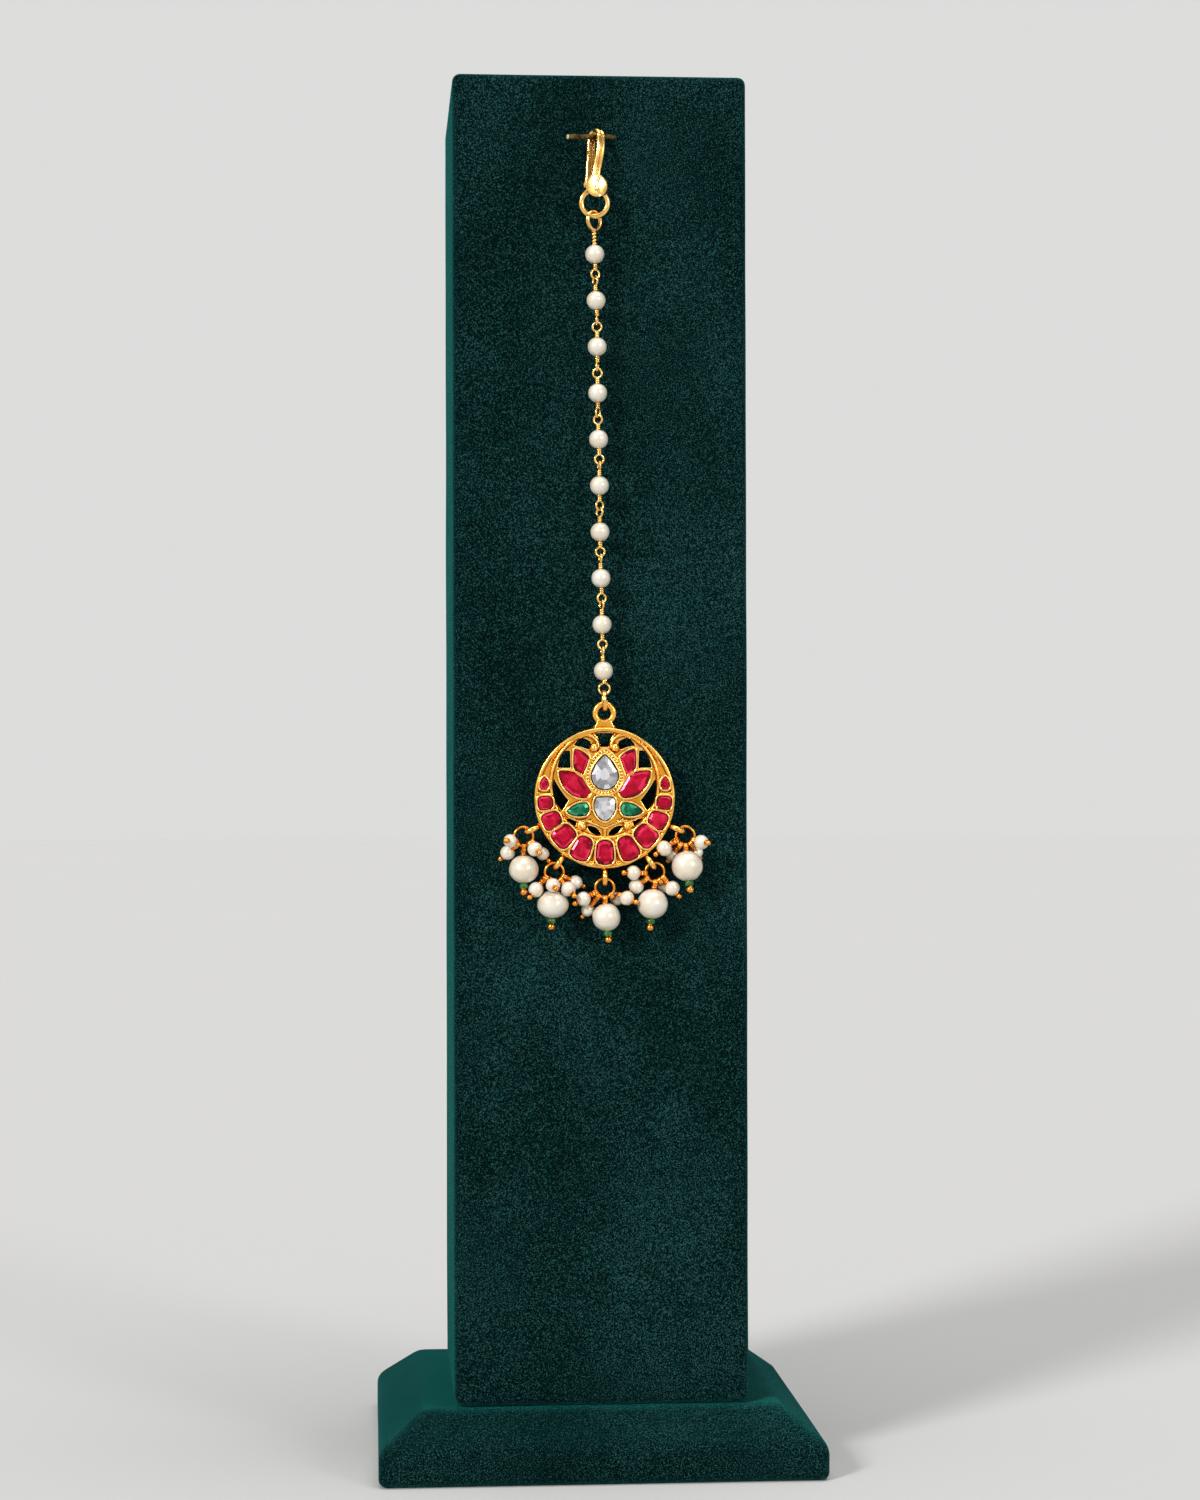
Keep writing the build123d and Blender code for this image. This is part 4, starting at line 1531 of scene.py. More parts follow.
@dataclass
class CutStone:
    """One stone of the pendant, cut over the outline of its seat.

    Attributes:
        node: CAD node of the stone.
        cut: How it is cut.
        seed: Number that picks the painted light of its facets.
        girdle: Height of the girdle over the stone's back.
        outline_points: Points of its outline.
        rim_shade: Distance in front of the girdle up to which a facet gets painted shade.
        table_lean: Least share of a face's direction that is forward, for the table.
        star_lean: The same for the star facets round the table.
        wall_lean: The same for any facet, below which it is the girdle.
        table_light: Painted light that the table throws back.
    """

    node: str
    cut: Cut
    seed: int
    girdle: float = 0.95
    outline_points: int = 72
    rim_shade: float = 0.06
    table_lean: float = 0.9995
    star_lean: float = 0.95
    wall_lean: float = 0.3
    table_light: float = 0.62

    def seat(self) -> list[Vector]:
        """Outline of the stone's back from the frame, counterclockwise from the front."""
        points = corners(self.node)
        ring = np.unique(points[points[:, 1] > points[:, 1].max() - 0.01].round(3), axis=0)
        centre = ring.mean(0)
        order = np.argsort(np.arctan2(ring[:, 2] - centre[2], ring[:, 0] - centre[0]))
        return [Vector(point) for point in ring[order]]

    def outline(self) -> list[Vector]:
        """The seat's outline with its corners rounded and its size kept or grown."""
        shape = SHAPES[self.cut]
        loop = even_loop(self.seat(), self.outline_points)
        before = np.array(loop)
        for _ in range(shape.rounding):
            loop = [(a + b * 2 + c) / 4 for a, b, c in zip(loop[-1:] + loop[:-1], loop, loop[1:] + loop[:1])]
        after = np.array(loop)
        size = np.ptp(before, axis=0) / np.maximum(np.ptp(after, axis=0), 1e-6)
        centre = (before.min(0) + before.max(0)) / 2
        middle_now = (after.min(0) + after.max(0)) / 2
        grown = centre + (after - middle_now) * np.array([size[0], 1.0, size[2]]) * shape.growth
        return [Vector((x, before[0][1], z)) for x, _, z in grown]

    def facets(self) -> list[Vector]:
        """Outline with only the corners between flat facets."""
        ring = self.outline()
        span = SHAPES[self.cut].facet_turn
        kept, turned = [], span
        for before, point, after in zip(ring[-1:] + ring[:-1], ring, ring[1:] + ring[:1]):
            turned += math.degrees((after - point).angle(point - before, 0.0))
            if turned >= span:
                kept.append(point)
                turned = 0.0
        return kept

    def build(self) -> bpy.types.Object:
        """Extrudes the outline into a girdle, then draws it in tier by tier."""
        ring = self.facets()
        _, high = box_mm(self.node)
        bpy.ops.mesh.primitive_circle_add(vertices=len(ring), fill_type="NGON")
        item = bpy.context.object
        for vertex, point in zip(item.data.vertices, ring):
            vertex.co = Vector((point.x, high.y, point.z)) * MM
        centre = sum(ring, Vector()) / len(ring)
        tiers = SHAPES[self.cut].tiers
        levels = [(1.0, self.girdle)] + [(share, self.girdle + rise) for share, rise in tiers]
        with editing(item):
            bpy.ops.mesh.select_all(action="SELECT")
            share, height = 1.0, 0.0
            for next_share, next_height in levels:
                step = (0, (height - next_height) * MM, 0)
                bpy.ops.mesh.extrude_region_move(TRANSFORM_OT_translate={"value": step})
                ratio = next_share / share
                bpy.ops.transform.resize(value=(ratio, 1, ratio), center_override=centre * MM)
                share, height = next_share, next_height
        faces_out(item)
        self.facet_light(item, centre, high.y - self.girdle)
        return item

    def facet_light(self, item: bpy.types.Object, centre: Vector, girdle_y: float) -> None:
        """Stores the painted light of each facet: painted shade at the girdle, painted reflections inside.

        Args:
            item: The stone.
            centre: Centre of its outline.
            girdle_y: Place of the girdle's front edge along Y.
        """
        dice = random.Random(self.seed)
        by_side = [dice.uniform(0.30, 1.0) for _ in range(9)]
        by_star = [dice.uniform(0.35, 0.8) for _ in range(7)]
        facet_light = item.data.attributes.new("facet_tone", "FLOAT", "FACE")
        rim_y = girdle_y - self.rim_shade
        for face in item.data.polygons:
            place = face.center / MM
            angle = math.atan2(place.z - centre.z, place.x - centre.x) / TURN + 0.5
            lean = -face.normal.y
            # Girdle walls and the rim get painted shade; the table, stars and sides get painted reflections.
            if place.y > rim_y or lean < self.wall_lean:
                value = 0.0
            elif lean > self.table_lean:
                value = self.table_light
            elif lean > self.star_lean:
                value = by_star[int(angle * 6.99)]
            else:
                value = by_side[int(angle * 8.99)]
            facet_light.data[face.index].value = value


@dataclass
class PendantDisc:
    """Cast gold crescent with a lotus inside it, its stones and the doubled ring over its bail.

    Attributes:
        workshop: Where the pieces are handed over.
        disc_radius: Radius of the disc.
        bail_top: Height of the bail's top over the disc's centre.
        inner_radius: Radius of the crescent's inner edge.
        inner_rise: Height of that edge's centre over the disc's.
        face_rise: Height of the disc's face over its middle plane.
        bezel_height: Height of the bezels over the face.
        seat_gap: Gap between a stone and its bezel.
        bezel_wire: Radius of the bezels' ridge.
        pear_bezel_wire: Radius of the ridge round the pear-shaped stone.
        voxel: Size of the cells that the gold is melted together in.
        kept_share: Share of its faces that is kept.
        stone_angles: Places of the crescent's stones, in degrees from the bottom.
        wide_under: Angle under which the spokes between them are doubled.
        grains: Grains round the pear-shaped stone.
        ring_radius: Radius of the ring over the bail.
        ring_wire: Radius of its wire.
        ring_offset: Half of the distance between its two turns.
        ring_steps: Steps round its two turns.
    """

    workshop: Workshop
    disc_radius: float = 12.5
    bail_top: float = 17.25
    inner_radius: float = 9.3
    inner_rise: float = 2.5
    face_rise: float = 0.6
    bezel_height: float = 0.45
    seat_gap: float = 0.06
    bezel_wire: float = 0.19
    pear_bezel_wire: float = 0.16
    voxel: float = 0.125
    kept_share: float = 0.62
    stone_angles: tuple[float, ...] = (0.0, 24.6, 47.2, 67.2, 85.4, 103.1)
    wide_under: float = 60.0
    grains: int = 36
    ring_radius: float = 1.75
    ring_wire: float = 0.27
    ring_offset: float = 0.26
    ring_steps: int = 80

    def __post_init__(self) -> None:
        """Finds the disc's centre in the frame."""
        _, high = box_mm("pendant_frame")
        side = middle("crescent_ruby_06")
        self.centre = Vector((side.x, middle("hook_ring").y, high.z - self.bail_top))
        self.face_y = self.centre.y - self.face_rise
        self.bezel_y = self.face_y - self.bezel_height

    def at(self, right: float, up: float, out: float = 0.0) -> Vector:
        """Point over the disc's face.

        Args:
            right: Distance to the right of the centre.
            up: Distance above the centre.
            out: Distance in front of the face.

        Returns:
            The place in millimetres.
        """
        return Vector((self.centre.x + right, self.face_y - out, self.centre.z + up))

    def stones(self) -> dict[str, Cut]:
        """Every stone's node and its cut."""
        cuts = {f"crescent_ruby_{number:02d}": Cut.CUSHION for number in range(2, 11)}
        cuts |= {"crescent_ruby_01": Cut.HORN, "crescent_ruby_11": Cut.HORN}
        for side in ("left", "right"):
            cuts |= {f"petal_ruby_{place}_{side}": Cut.PETAL for place in ("upper", "lower")}
            cuts[f"leaf_emerald_{side}"] = Cut.LEAF
        return cuts | {"centre_crystal": Cut.PEAR, "lower_crystal": Cut.SHIELD}

    def build(self) -> None:
        """Makes the stones, the gold and the ring over the bail."""
        finishes = self.workshop.finishes
        for number, (node, cut) in enumerate(self.stones().items()):
            if "ruby" in node:
                finish = finishes.ruby
            elif "emerald" in node:
                finish = finishes.emerald
            else:
                finish = finishes.crystal
            item = CutStone(node, cut, SEED + number).build()
            self.workshop.hand_over(item, f"cut_{node}", finish, Body.PENDANT, node)
        self.gold()
        self.bail_ring()

    def offset_outline(self, node: str, gap: float) -> list[Vector]:
        """Stone's outline moved outwards, on the bezels' top.

        Args:
            node: CAD node of the stone.
            gap: Distance that the outline is moved.

        Returns:
            The moved outline.
        """
        ring = CutStone(node, self.stones()[node], 0).outline()
        moved = []
        for before, point, after in zip(ring[-1:] + ring[:-1], ring, ring[1:] + ring[:1]):
            first = (point - before).normalized()
            second = (after - point).normalized()
            out = (first + second).normalized().cross(FORWARD).normalized()
            stretch = min(2.0, 1 / max(0.3, math.cos(first.angle(second, 0.0) / 2)))
            place = point + out * gap * stretch
            moved.append(Vector((place.x, self.bezel_y, place.z)))
        return moved

    def mirrored(self, *points: tuple[float, float], out: float = 0.0) -> list[list[Vector]]:
        """Smooth line through points of the right half, after its mirror image."""
        return [rounded_path([self.at(side * right, up, out) for right, up in points]) for side in (-1, 1)]

    def bezels(self) -> list[bpy.types.Object]:
        """Rounded ridge round each stone."""
        parts = []
        for node in self.stones():
            width = self.pear_bezel_wire if node == "centre_crystal" else self.bezel_wire
            ridge = self.offset_outline(node, self.seat_gap + width * 0.85)
            parts.append(wire_along(ridge, width, closed=True))
        return parts

    def pear_rim(self) -> bpy.types.Object:
        """Outer rim of the border round the pear-shaped stone."""
        return wire_along(self.offset_outline("centre_crystal", 0.98), 0.19, closed=True)

    def pear_grains(self) -> list[bpy.types.Object]:
        """Grains that lie side by side between the pear-shaped stone and its rim."""
        track = even_loop(self.offset_outline("centre_crystal", 0.6), self.grains)
        grain = ball(Vector(), 0.17, 12, 8)
        parts = []
        for before, point, after in zip(track[-1:] + track[:-1], track, track[1:] + track[:1]):
            out = (after - before).normalized().cross(FORWARD)
            turn = out.to_track_quat("X", "Z").to_matrix().to_4x4()
            shape = Matrix.Diagonal((1.75, 1.1, 1.1, 1))
            parts.append(copied(grain, Matrix.Translation((point - FORWARD * 0.02) * MM) @ turn @ shape))
        bpy.data.objects.remove(grain)
        return parts

    def rims(self) -> list[bpy.types.Object]:
        """Raised outer and inner rims and the line along the top of the crescent."""
        face = self.at(0, 0, 0.12)
        parts = [hoop(face, FORWARD, self.disc_radius - 0.33, 0.36, 120, 12)]
        inner = self.at(0, self.inner_rise, 0.2)
        parts.append(hoop(inner, FORWARD, self.inner_radius + 0.28, 0.26, 110, 12))
        for side in (-1, 1):
            line = [
                self.at(side * 10.95 * math.sin(a), 1.25 + 10.95 * math.cos(a), 0.02)
                for a in np.radians(np.linspace(27, 66, 16))
            ]
            parts.append(wire_along(line, 0.2, swell=lambda share: 0.5 + math.sin(math.pi * share) * 0.6))
        return parts

    def inner_rim_distance(self, angle: float) -> float:
        """Distance from the disc's centre to the inner rim.

        Args:
            angle: Direction in radians from the bottom.

        Returns:
            The distance in millimetres.
        """
        radius, rise = self.inner_radius + 0.3, self.inner_rise
        down = -rise * math.cos(angle)
        return down + math.sqrt(down**2 - rise**2 + radius**2)

    def spokes(self) -> list[bpy.types.Object]:
        """Doubled ridges between the crescent's stones, with grains at their feet."""
        parts = []
        for first, second in zip(self.stone_angles, self.stone_angles[1:]):
            wide = first < self.wide_under
            for side in (-1, 1):
                angle = math.radians((first + second) / 2)
                out = Vector((side * math.sin(angle), 0, -math.cos(angle)))
                across = Vector((side * math.cos(angle), 0, math.sin(angle)))
                near = self.inner_rim_distance(angle)
                far = self.disc_radius - 0.55
                centre = self.at(0, 0, 0.2)
                for twin in (-1, 1) if wide else (0,):
                    path = [
                        centre + out * (near + (far - near) * t) + across * twin * (0.2 + 0.25 * t**2)
                        for t in np.linspace(0, 1, 6)
                    ]
                    parts.append(wire_along(path, 0.19 if wide else 0.24))
                if wide:
                    spots = ((far - 0.35, 0.0, 0.2), (far - 0.1, 0.85, 0.22), (far - 0.1, -0.85, 0.22))
                    parts += [
                        ball(centre + out * reach + across * shift, radius, 10, 7)
                        for reach, shift, radius in spots
                    ]
        return parts

    def scrolls(self) -> list[bpy.types.Object]:
        """Curls above the lotus and the arms that hold the lower stone."""
        parts = []

        def ridge(radius: float, taper: float, out: float, *points: tuple[float, float]) -> None:
            """Adds a tapered ridge and its mirror image."""
            for line in self.mirrored(*points, out=out):
                parts.append(wire_along(line, radius, swell=lambda share: 1 - taper * share))

        ridge(0.3, 0.25, 0.15, (4.6, 10.7), (3.4, 11.2), (2.2, 10.9), (1.4, 10.1), (1.12, 9.2), (1.45, 8.6))
        ridge(0.2, 0.1, 0.3, (3.3, -3.75), (2.6, -4.3), (1.5, -4.75), (0.55, -5.15), (0.0, -5.5))
        ridge(0.28, 0.1, 0.25, (2.7, -4.15), (3.5, -4.05), (4.35, -4.3), (4.6, -5.0), (4.2, -5.65))
        ridge(0.16, 0.0, 0.25, (6.9, -3.0), (5.4, -3.85), (4.2, -4.1), (3.2, -3.95))
        parts.append(wire_along([self.at(0, -5.2, 0.2), self.at(0, -6.9, 0.2)], 0.27))
        for side in (-1, 1):
            parts.append(ball(self.at(side * 3.85, -5.05, 0.35), 0.55))
            parts.append(ball(self.at(side * 1.75, 8.75, 0.3), 0.5))
            parts.append(ball(self.at(side * 2.35, -4.0, 0.2), 0.22, 12, 8))
        return parts

    def bail_legs(self) -> list[bpy.types.Object]:
        """Legs that flare from the bail to the rim."""
        parts = []
        for line in self.mirrored((1.35, 14.2), (1.2, 13.5), (1.35, 12.9), (1.9, 12.4), out=-0.55):
            parts.append(wire_along(line, 0.42, swell=lambda share: 1 - 0.3 * share))
        return parts

    def gold(self) -> None:
        """Copy of the frame's casting with its ridges, rims, grains and scrolls melted into it."""
        cast = copied(frame["nodes"]["pendant_frame"])
        cast.parent = None
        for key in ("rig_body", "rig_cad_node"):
            del cast[key]
        with editing(cast, "VERT"):
            bpy.ops.mesh.select_all(action="SELECT")
            bpy.ops.mesh.remove_doubles(threshold=0.0005 * MM)
        parts = self.bezels() + self.rims() + self.spokes() + self.scrolls() + self.bail_legs()
        cast = joined(cast, self.pear_rim(), *parts)
        cast.data.remesh_voxel_size = self.voxel * MM
        cast.data.remesh_voxel_adaptivity = 0.0
        bpy.ops.object.voxel_remesh()
        applied(cast, "SMOOTH", factor=0.5, iterations=2)
        applied(cast, "DECIMATE", ratio=self.kept_share)
        cast = joined(cast, *self.pear_grains())
        smooth(cast)
        finish = self.workshop.finishes.cast
        self.workshop.hand_over(cast, "cast_gold_disc", finish, Body.PENDANT, "pendant_frame")

    def bail_ring(self) -> None:
        """Two close turns of wire between the bail and the last link."""
        centre = middle("bail_ring")
        steps = self.ring_steps
        path = [
            point + RIGHT * self.ring_offset * (2 * step / steps - 1)
            for step, point in enumerate(arc(centre, FORWARD, UP, self.ring_radius, 0.0, 2.0, steps))
        ]
        item = smooth(wire_along(path, self.ring_wire, roundness=4), 50)
        self.workshop.hand_over(item, "bail_ring_wire", self.workshop.finishes.wire, Body.BAIL, "bail_ring")


@dataclass
class PearlDrops:
    """Five drops: a split ring, a big pearl over a seed bead, and four small pearls on head pins.

    Attributes:
        workshop: Where the pieces are handed over.
        ring_radius: Radius of a split ring.
        ring_wire: Radius of its wire.
        ring_gap: Half of the distance between its two turns.
        ring_steps: Steps round its two turns.
        pin_wire: Radius of a head pin's wire.
        loop_radius: Radius of its loop.
        loop_turns: Turns of its loop.
        loop_spread: Half of the distance between the first turn and the last.
        loop_steps: Steps in each turn.
        wrap_wire: Radius of the wire round its neck.
        wrap_radius: Radius of that wire's coils.
        wrap_pitch: Distance between them over their wire's radius.
        drill_radius: Radius of a bead's hole.
        seed_radius: Radius of a seed bead.
        seed_height: Height of a seed bead.
    """

    workshop: Workshop
    ring_radius: float = 1.68
    ring_wire: float = 0.24
    ring_gap: float = 0.21
    ring_steps: int = 84
    pin_wire: float = 0.19
    loop_radius: float = 0.66
    loop_turns: int = 3
    loop_spread: float = 0.31
    loop_steps: int = 24
    wrap_wire: float = 0.19
    wrap_radius: float = 0.38
    wrap_pitch: float = 2.1
    drill_radius: float = 0.2
    seed_radius: float = 0.82
    seed_height: float = 0.92

    def build(self) -> None:
        """Makes every drop, from left to right."""
        finish = self.workshop.finishes.pin_gold
        rings = sorted((centre_of(points) for points in solids("drop_rings")), key=lambda c: c.x)
        seeds = sorted(solids("seed_beads"), key=lambda points: points[:, 0].mean())
        for number, (ring, seed) in enumerate(zip(rings, seeds), start=1):
            self.split_ring(number, ring)
            self.big_pearl(number)
            self.seed_bead(number, seed)
            node = f"drop_pin_{number}"
            main_pin = self.head_pin(solids(node)[0], ring)
            self.workshop.hand_over(main_pin, f"drop_head_pin_{number}", finish, Body.PENDANT, node)
            self.cluster(number, ring)

    def split_ring(self, number: int, centre: Vector) -> None:
        """Two turns of wire through the eyelet."""
        finish = self.workshop.finishes.pin_gold
        steps = self.ring_steps
        start = 0.1 * number
        path = [
            point + FORWARD * self.ring_gap * (2 * step / steps - 1)
            for step, point in enumerate(arc(centre, RIGHT, UP, self.ring_radius, start, start + 2, steps))
        ]
        item = smooth(wire_along(path, self.ring_wire), 50)
        self.workshop.hand_over(item, f"drop_ring_{number}", finish, Body.PENDANT, "drop_rings")

    def big_pearl(self, number: int) -> None:
        """Large pearl, a little out of round."""
        node = f"drop_pearl_{number}"
        points = corners(node)
        centre = centre_of(points)
        axis = self.pin_axis(solids(f"drop_pin_{number}")[0])
        spokes = points - np.array(centre)
        reach = spokes @ np.array(axis)
        across = np.linalg.norm(spokes - np.outer(reach, axis), axis=1)
        height = np.abs(reach).max() * 1.01
        item = pearl_shape(across.max(), height, 0.014, self.drill_radius * 1.6, SEED + number)
        turn = (-axis).to_track_quat("Z", "Y").to_matrix().to_4x4()
        item.data.transform(Matrix.Translation(centre * MM) @ turn)
        self.workshop.hand_over(item, f"big_pearl_{number}", self.workshop.finishes.pearl, Body.PENDANT, node)

    def seed_bead(self, number: int, points: np.ndarray) -> None:
        """Small rounded glass ring under the big pearl."""
        axis = self.pin_axis(solids(f"drop_pin_{number}")[0])
        wall = (self.seed_radius - self.drill_radius) / 2
        bpy.ops.mesh.primitive_torus_add(
            major_radius=(self.drill_radius + wall) * MM,
            minor_radius=wall * MM,
            major_segments=36,
            minor_segments=18,
        )
        item = bpy.context.object
        stretch = Matrix.Diagonal((1, 1, self.seed_height / 2 / wall, 1))
        turn = axis.to_track_quat("Z", "Y").to_matrix().to_4x4()
        item.data.transform(Matrix.Translation(centre_of(points) * MM) @ turn @ stretch)
        smooth(item)
        finish = self.workshop.finishes.seed
        self.workshop.hand_over(item, f"seed_bead_{number}", finish, Body.PENDANT, "seed_beads")

    def pin_axis(self, points: np.ndarray) -> Vector:
        """Direction of a head pin from its loop to its ball."""
        axis = main_axes(points)[0]
        reach = (points - points.mean(0)) @ np.array(axis)
        ball_is_ahead = self.girth(points, reach, ahead=True) > self.girth(points, reach, ahead=False)
        return axis if ball_is_ahead else -axis

    @staticmethod
    def girth(points: np.ndarray, reach: np.ndarray, ahead: bool) -> float:
        """Least width of a pin's end, which is large at its ball and small at its flat loop.

        Args:
            points: Corners of the pin.
            reach: Place of each corner along the pin.
            ahead: Whether the end that lies ahead is measured.

        Returns:
            The width.
        """
        near = reach > reach.max() - 0.5 if ahead else reach < reach.min() + 0.5
        end = points[near] - points[near].mean(0)
        return float(np.linalg.svd(end, compute_uv=False)[2] / math.sqrt(len(end))) if len(end) > 3 else 0.0

    def head_pin(self, points: np.ndarray, ring: Vector) -> bpy.types.Object:
        """Pin from the frame: a loop over the ring, a wrapped neck, a shank and an end ball.

        Args:
            points: Corners of the pin in the frame.
            ring: Centre of the ring that it hangs on.

        Returns:
            The pin.
        """
        axis = self.pin_axis(points)
        reach = (points - points.mean(0)) @ np.array(axis)
        mean = Vector(points.mean(0))
        on_line = self.on_axis(points, axis, mean)
        from_mean = (on_line - mean).dot(axis)
        loop_end = on_line + axis * (reach.min() - from_mean)
        ball_end = on_line + axis * (reach.max() - from_mean)
        loop_centre = loop_end + axis * (self.loop_radius + self.pin_wire)
        tangent = (loop_centre - ring).cross(FORWARD).normalized()
        loop_axis = (tangent - axis * tangent.dot(axis)).normalized()
        side = axis.cross(loop_axis)
        near_ball = points[reach > reach.max() - 0.35]
        ball_radius = self.ball_radius(near_ball, axis, ball_end)
        ball_centre = ball_end - axis * ball_radius
        neck = loop_centre + axis * self.loop_radius
        steps = self.loop_steps * self.loop_turns
        circles = arc(loop_centre, axis, side, self.loop_radius, 0.0, self.loop_turns, steps)
        loop = [
            point + loop_axis * self.loop_spread * (1 - 2 * step / steps)
            for step, point in enumerate(circles)
        ]
        shank = wire_along([*loop, neck + axis * 0.2, ball_centre], self.pin_wire, roundness=2)
        wrap_end = self.wrap_end(points, axis, neck, ball_centre)
        turns = max(1.5, (wrap_end - neck).length / (self.wrap_wire * self.wrap_pitch))
        coil = helix(neck - axis * 0.05, wrap_end, side, self.wrap_radius, turns, 12)
        coils = wire_along(coil, self.wrap_wire, roundness=2)
        end = ball(ball_centre, ball_radius, 20, 14)
        return joined(smooth(shank, 50), smooth(coils, 50), smooth(end))

    @staticmethod
    def on_axis(points: np.ndarray, axis: Vector, guess: Vector) -> Vector:
        """Point of a pin's centre line, from the middle of its width in two directions across.

        Args:
            points: Corners of the pin.
            axis: Direction of the pin.
            guess: Point near the line.

        Returns:
            The point.
        """
        first = axis.orthogonal().normalized()
        second = axis.cross(first)
        place = guess.copy()
        for way in (first, second):
            spread = (points - np.array(guess)) @ np.array(way)
            place += way * (spread.min() + spread.max()) / 2
        return place

    @staticmethod
    def ball_radius(points: np.ndarray, axis: Vector, end: Vector) -> float:
        """Radius of an end ball.

        Args:
            points: Corners of the ball's outer cap.
            axis: Direction of the pin.
            end: The cap's outermost point.

        Returns:
            The radius.
        """
        depth = (np.array(end) - points) @ np.array(axis)
        flat = np.linalg.norm((points - np.array(end)) + np.outer(depth, axis), axis=1)
        use = depth > 0.05
        return float(np.median((flat[use] ** 2 + depth[use] ** 2) / (2 * depth[use])))

    def wrap_end(self, points: np.ndarray, axis: Vector, neck: Vector, ball_centre: Vector) -> Vector:
        """Where the wrapped neck stops, read from the frame's wider stretch below the loop.

        Args:
            points: Corners of the pin.
            axis: Direction of the pin.
            neck: Where the neck starts.
            ball_centre: Centre of the end ball.

        Returns:
            The end of the wraps.
        """
        spokes = points - np.array(neck)
        reach = spokes @ np.array(axis)
        across = np.linalg.norm(spokes - np.outer(reach, axis), axis=1)
        wide = (across > 0.24) & (across < 0.28) & (reach > 0)
        limit = (ball_centre - neck).length - 0.5
        length = float(reach[wide].max()) if wide.any() else 0.3
        return neck + axis * min(length, limit)

    def cluster(self, number: int, ring: Vector) -> None:
        """Four small pearls of a drop and their pins."""
        finishes = self.workshop.finishes
        beads = solids(f"cluster_pearls_{number}")
        pins = solids(f"cluster_pins_{number}")
        dice = random.Random(SEED * number)
        for place, (bead, pin) in enumerate(zip(beads, self.matched(beads, pins)), start=1):
            centre = centre_of(bead)
            radius = float(np.linalg.norm(bead - np.array(centre), axis=1).max())
            axis = self.pin_axis(pin)
            height = radius * min(1.0, dice.uniform(0.94, 1.05))
            item = pearl_shape(radius, height, 0.022, self.drill_radius * 1.5, number * 10 + place)
            turn = (-axis).to_track_quat("Z", "Y").to_matrix().to_4x4()
            item.data.transform(Matrix.Translation(centre * MM) @ turn)
            name, node = f"small_pearl_{number}_{place}", f"cluster_pearls_{number}"
            self.workshop.hand_over(item, name, finishes.pearl, Body.PENDANT, node)
            name, node = f"small_head_pin_{number}_{place}", f"cluster_pins_{number}"
            self.workshop.hand_over(self.head_pin(pin, ring), name, finishes.pin_gold, Body.PENDANT, node)

    @staticmethod
    def miss(pin: np.ndarray, centre: Vector) -> float:
        """Distance from a pearl's centre to a pin's line, and a tenth of that to the pin's middle."""
        axis = main_axes(pin)[0]
        away = centre - Vector(pin.mean(0))
        return (away - axis * away.dot(axis)).length + away.length * 0.1

    def matched(self, beads: list[np.ndarray], pins: list[np.ndarray]) -> list[np.ndarray]:
        """For each pearl, the pin whose line passes nearest to its centre."""
        return [min(pins, key=lambda pin: self.miss(pin, centre_of(bead))) for bead in beads]


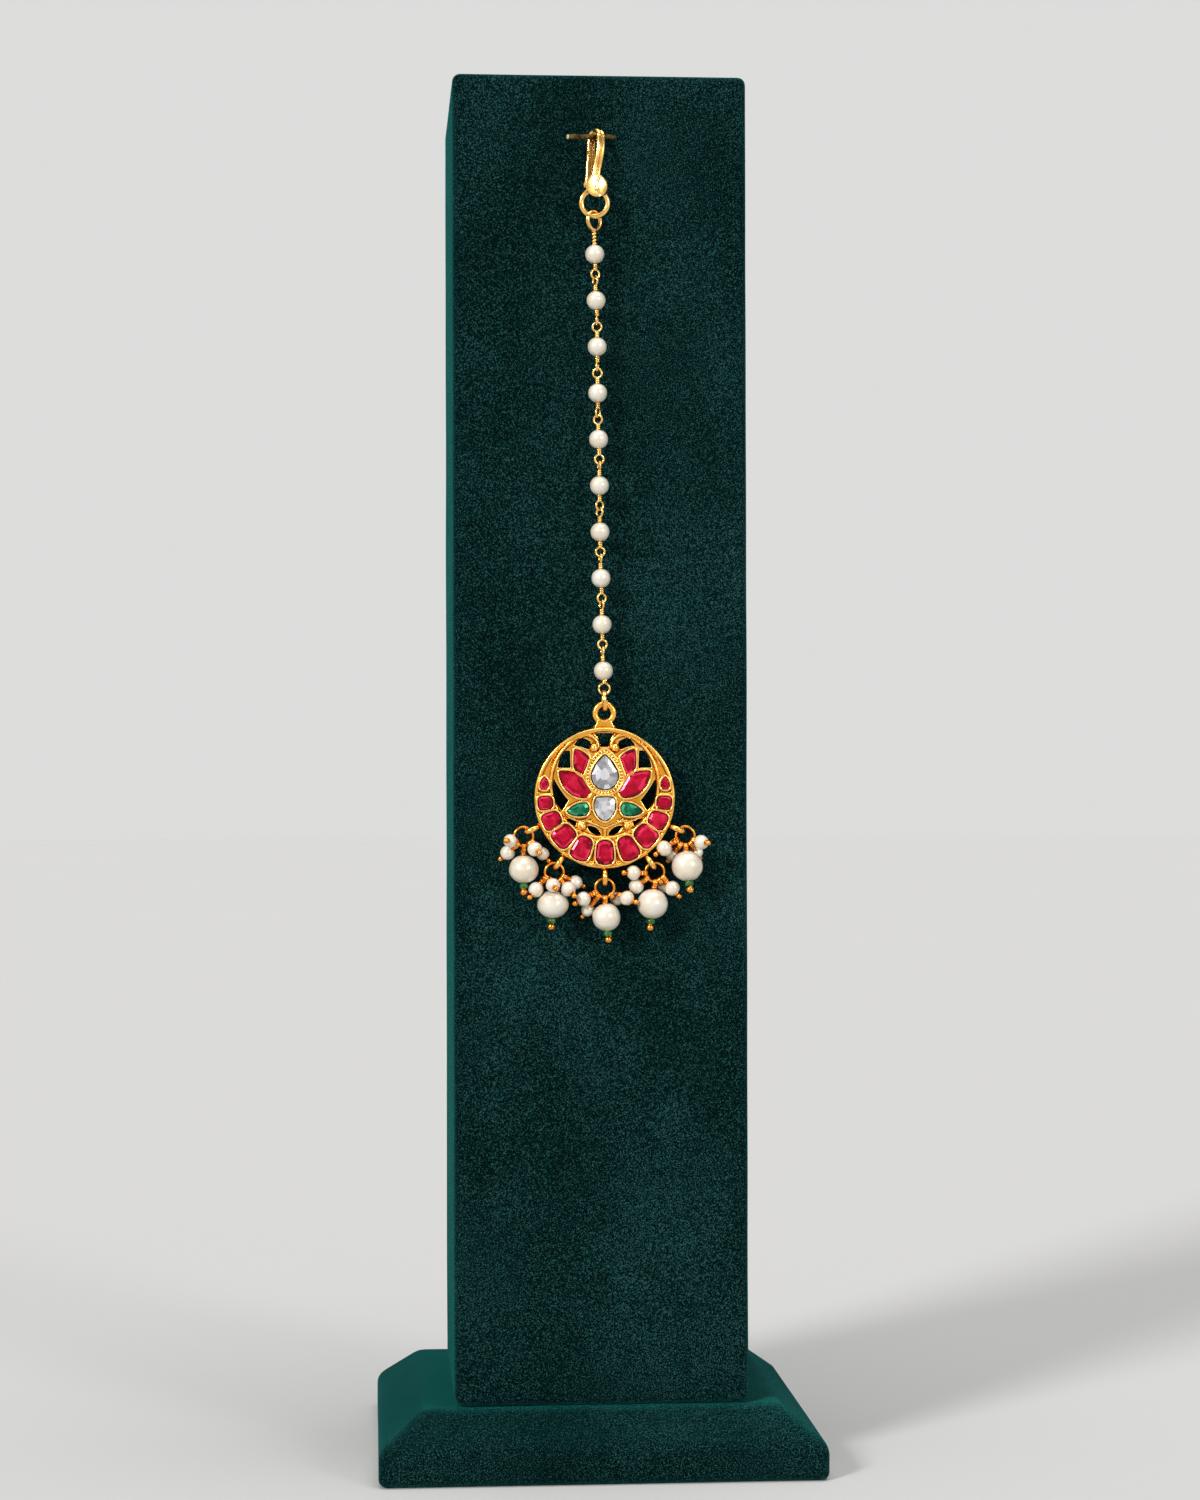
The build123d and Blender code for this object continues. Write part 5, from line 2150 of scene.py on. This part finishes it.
@dataclass
class Studio:
    """Pale floor, soft lamps and the camera.

    Attributes:
        floor_size: Side of the floor in metres.
        floor_tint: Colour of the floor.
        backdrop: Colour of the backdrop.
        sky_bands: Rise and brightness of the backdrop's bands, from level to straight up.
        ambient: Strength of the even light.
        key_strength: Watts on a square metre from the key lamp.
        fill_strength: The same from the fill lamp.
        top_strength: The same from the top lamp.
        camera_place: Place of the camera.
        camera_turn: Turn of the camera in degrees.
        lens: Focal length of the camera.
        sensor: Width of its sensor.
    """

    floor_size: float = 12.0
    floor_tint: Tint = tint(0.60, 0.595, 0.585)
    backdrop: Tint = tint(0.72, 0.72, 0.715)
    sky_bands: tuple[tuple[float, float], ...] = (
        (0.001, 1.0),
        (0.27, 1.0),
        (0.42, 0.4),
        (0.7, 0.55),
        (0.999, 1.3),
    )
    ambient: float = 0.26
    key_strength: float = 2.3
    fill_strength: float = 0.8
    top_strength: float = 1.8
    camera_place: Vector = field(default_factory=lambda: Vector((-41.2, -587.1, 124.4)))
    camera_turn: tuple[float, float, float] = (90.54, 0.12, -4.21)
    lens: float = 74.9
    sensor: float = 36.0

    def build(self) -> None:
        """Makes the floor, the world, the lamps and the camera."""
        self.floor()
        self.world()
        self.sun("key", Vector((-0.60, -0.66, 0.45)), 12.0, self.key_strength)
        self.sun("fill", Vector((0.55, -0.75, 0.28)), 14.0, self.fill_strength)
        self.sun("top", Vector((0.10, -0.15, 1.0)), 50.0, self.top_strength)
        self.camera()
        bpy.context.scene.view_settings.view_transform = "Standard"

    def floor(self) -> None:
        """Large pale floor."""
        bpy.ops.mesh.primitive_plane_add(size=self.floor_size)
        floor = bpy.context.object
        floor.name = "floor"
        shade = Shade("pale_floor")
        cloud = shade.noise(3.0, 2.0)
        colour = shade.mix(cloud, self.floor_tint, tint(*(value * 1.02 for value in self.floor_tint[:3])))
        floor.data.materials.append(shade.finish(Base_Color=colour, Roughness=0.8, Specular_IOR_Level=0.2))

    def world(self) -> None:
        """Even light, with a pale backdrop for the camera, gloss and glass."""
        world = bpy.data.worlds.new("studio")
        bpy.context.scene.world = world
        world.use_nodes = True
        tree = world.node_tree
        tree.nodes.clear()
        path = tree.nodes.new("ShaderNodeLightPath")
        seen = tree.nodes.new("ShaderNodeMath")
        seen.operation = "MAXIMUM"
        tree.links.new(path.outputs["Is Camera Ray"], seen.inputs[0])
        shiny = tree.nodes.new("ShaderNodeMath")
        shiny.operation = "MAXIMUM"
        tree.links.new(path.outputs["Is Glossy Ray"], shiny.inputs[0])
        tree.links.new(path.outputs["Is Transmission Ray"], shiny.inputs[1])
        tree.links.new(shiny.outputs[0], seen.inputs[1])
        light = tree.nodes.new("ShaderNodeBackground")
        light.inputs["Strength"].default_value = self.ambient
        backdrop = tree.nodes.new("ShaderNodeBackground")
        way = tree.nodes.new("ShaderNodeTexCoord")
        parts = tree.nodes.new("ShaderNodeSeparateXYZ")
        sky = tree.nodes.new("ShaderNodeValToRGB")
        tree.links.new(way.outputs["Generated"], parts.inputs[0])
        tree.links.new(parts.outputs["Z"], sky.inputs[0])
        tree.links.new(sky.outputs[0], backdrop.inputs["Color"])
        for rise, share in self.sky_bands:
            stop = sky.color_ramp.elements.new(rise)
            stop.color = tint(*(value * share for value in self.backdrop[:3]))
        sky.color_ramp.elements.remove(sky.color_ramp.elements[0])
        sky.color_ramp.elements.remove(sky.color_ramp.elements[-1])
        mixed = tree.nodes.new("ShaderNodeMixShader")
        tree.links.new(seen.outputs[0], mixed.inputs[0])
        tree.links.new(light.outputs[0], mixed.inputs[1])
        tree.links.new(backdrop.outputs[0], mixed.inputs[2])
        output = tree.nodes.new("ShaderNodeOutputWorld")
        tree.links.new(mixed.outputs[0], output.inputs["Surface"])

    def sun(self, name: str, towards: Vector, softness: float, strength: float) -> None:
        """Distant soft lamp.

        Args:
            name: Name of the lamp.
            towards: Direction from the jewel to the lamp.
            softness: Width of the lamp in degrees.
            strength: Watts on a square metre.
        """
        bpy.ops.object.light_add(type="SUN", location=towards)
        lamp = bpy.context.object
        lamp.name = name
        lamp.data.energy = strength
        lamp.data.angle = math.radians(softness)
        lamp.rotation_euler = towards.to_track_quat("Z", "Y").to_euler()

    def camera(self) -> None:
        """Camera in front and a little to the left."""
        bpy.ops.object.camera_add(location=self.camera_place * MM)
        camera = bpy.context.object
        camera.rotation_euler = [math.radians(angle) for angle in self.camera_turn]
        camera.data.lens = self.lens
        camera.data.sensor_width = self.sensor
        camera.data.clip_start = 0.01
        camera.data.clip_end = 50.0
        bpy.context.scene.camera = camera


def main() -> None:
    """Builds every sub-assembly in order."""
    logging.basicConfig(level=logging.INFO, format="%(message)s")
    Studio().build()
    workshop = Workshop(Finishes())
    VelvetStand(workshop).build()
    HairHook(workshop).build()
    PearlChain(workshop).build()
    PendantDisc(workshop).build()
    PearlDrops(workshop).build()


if __name__ == "__main__":
    main()
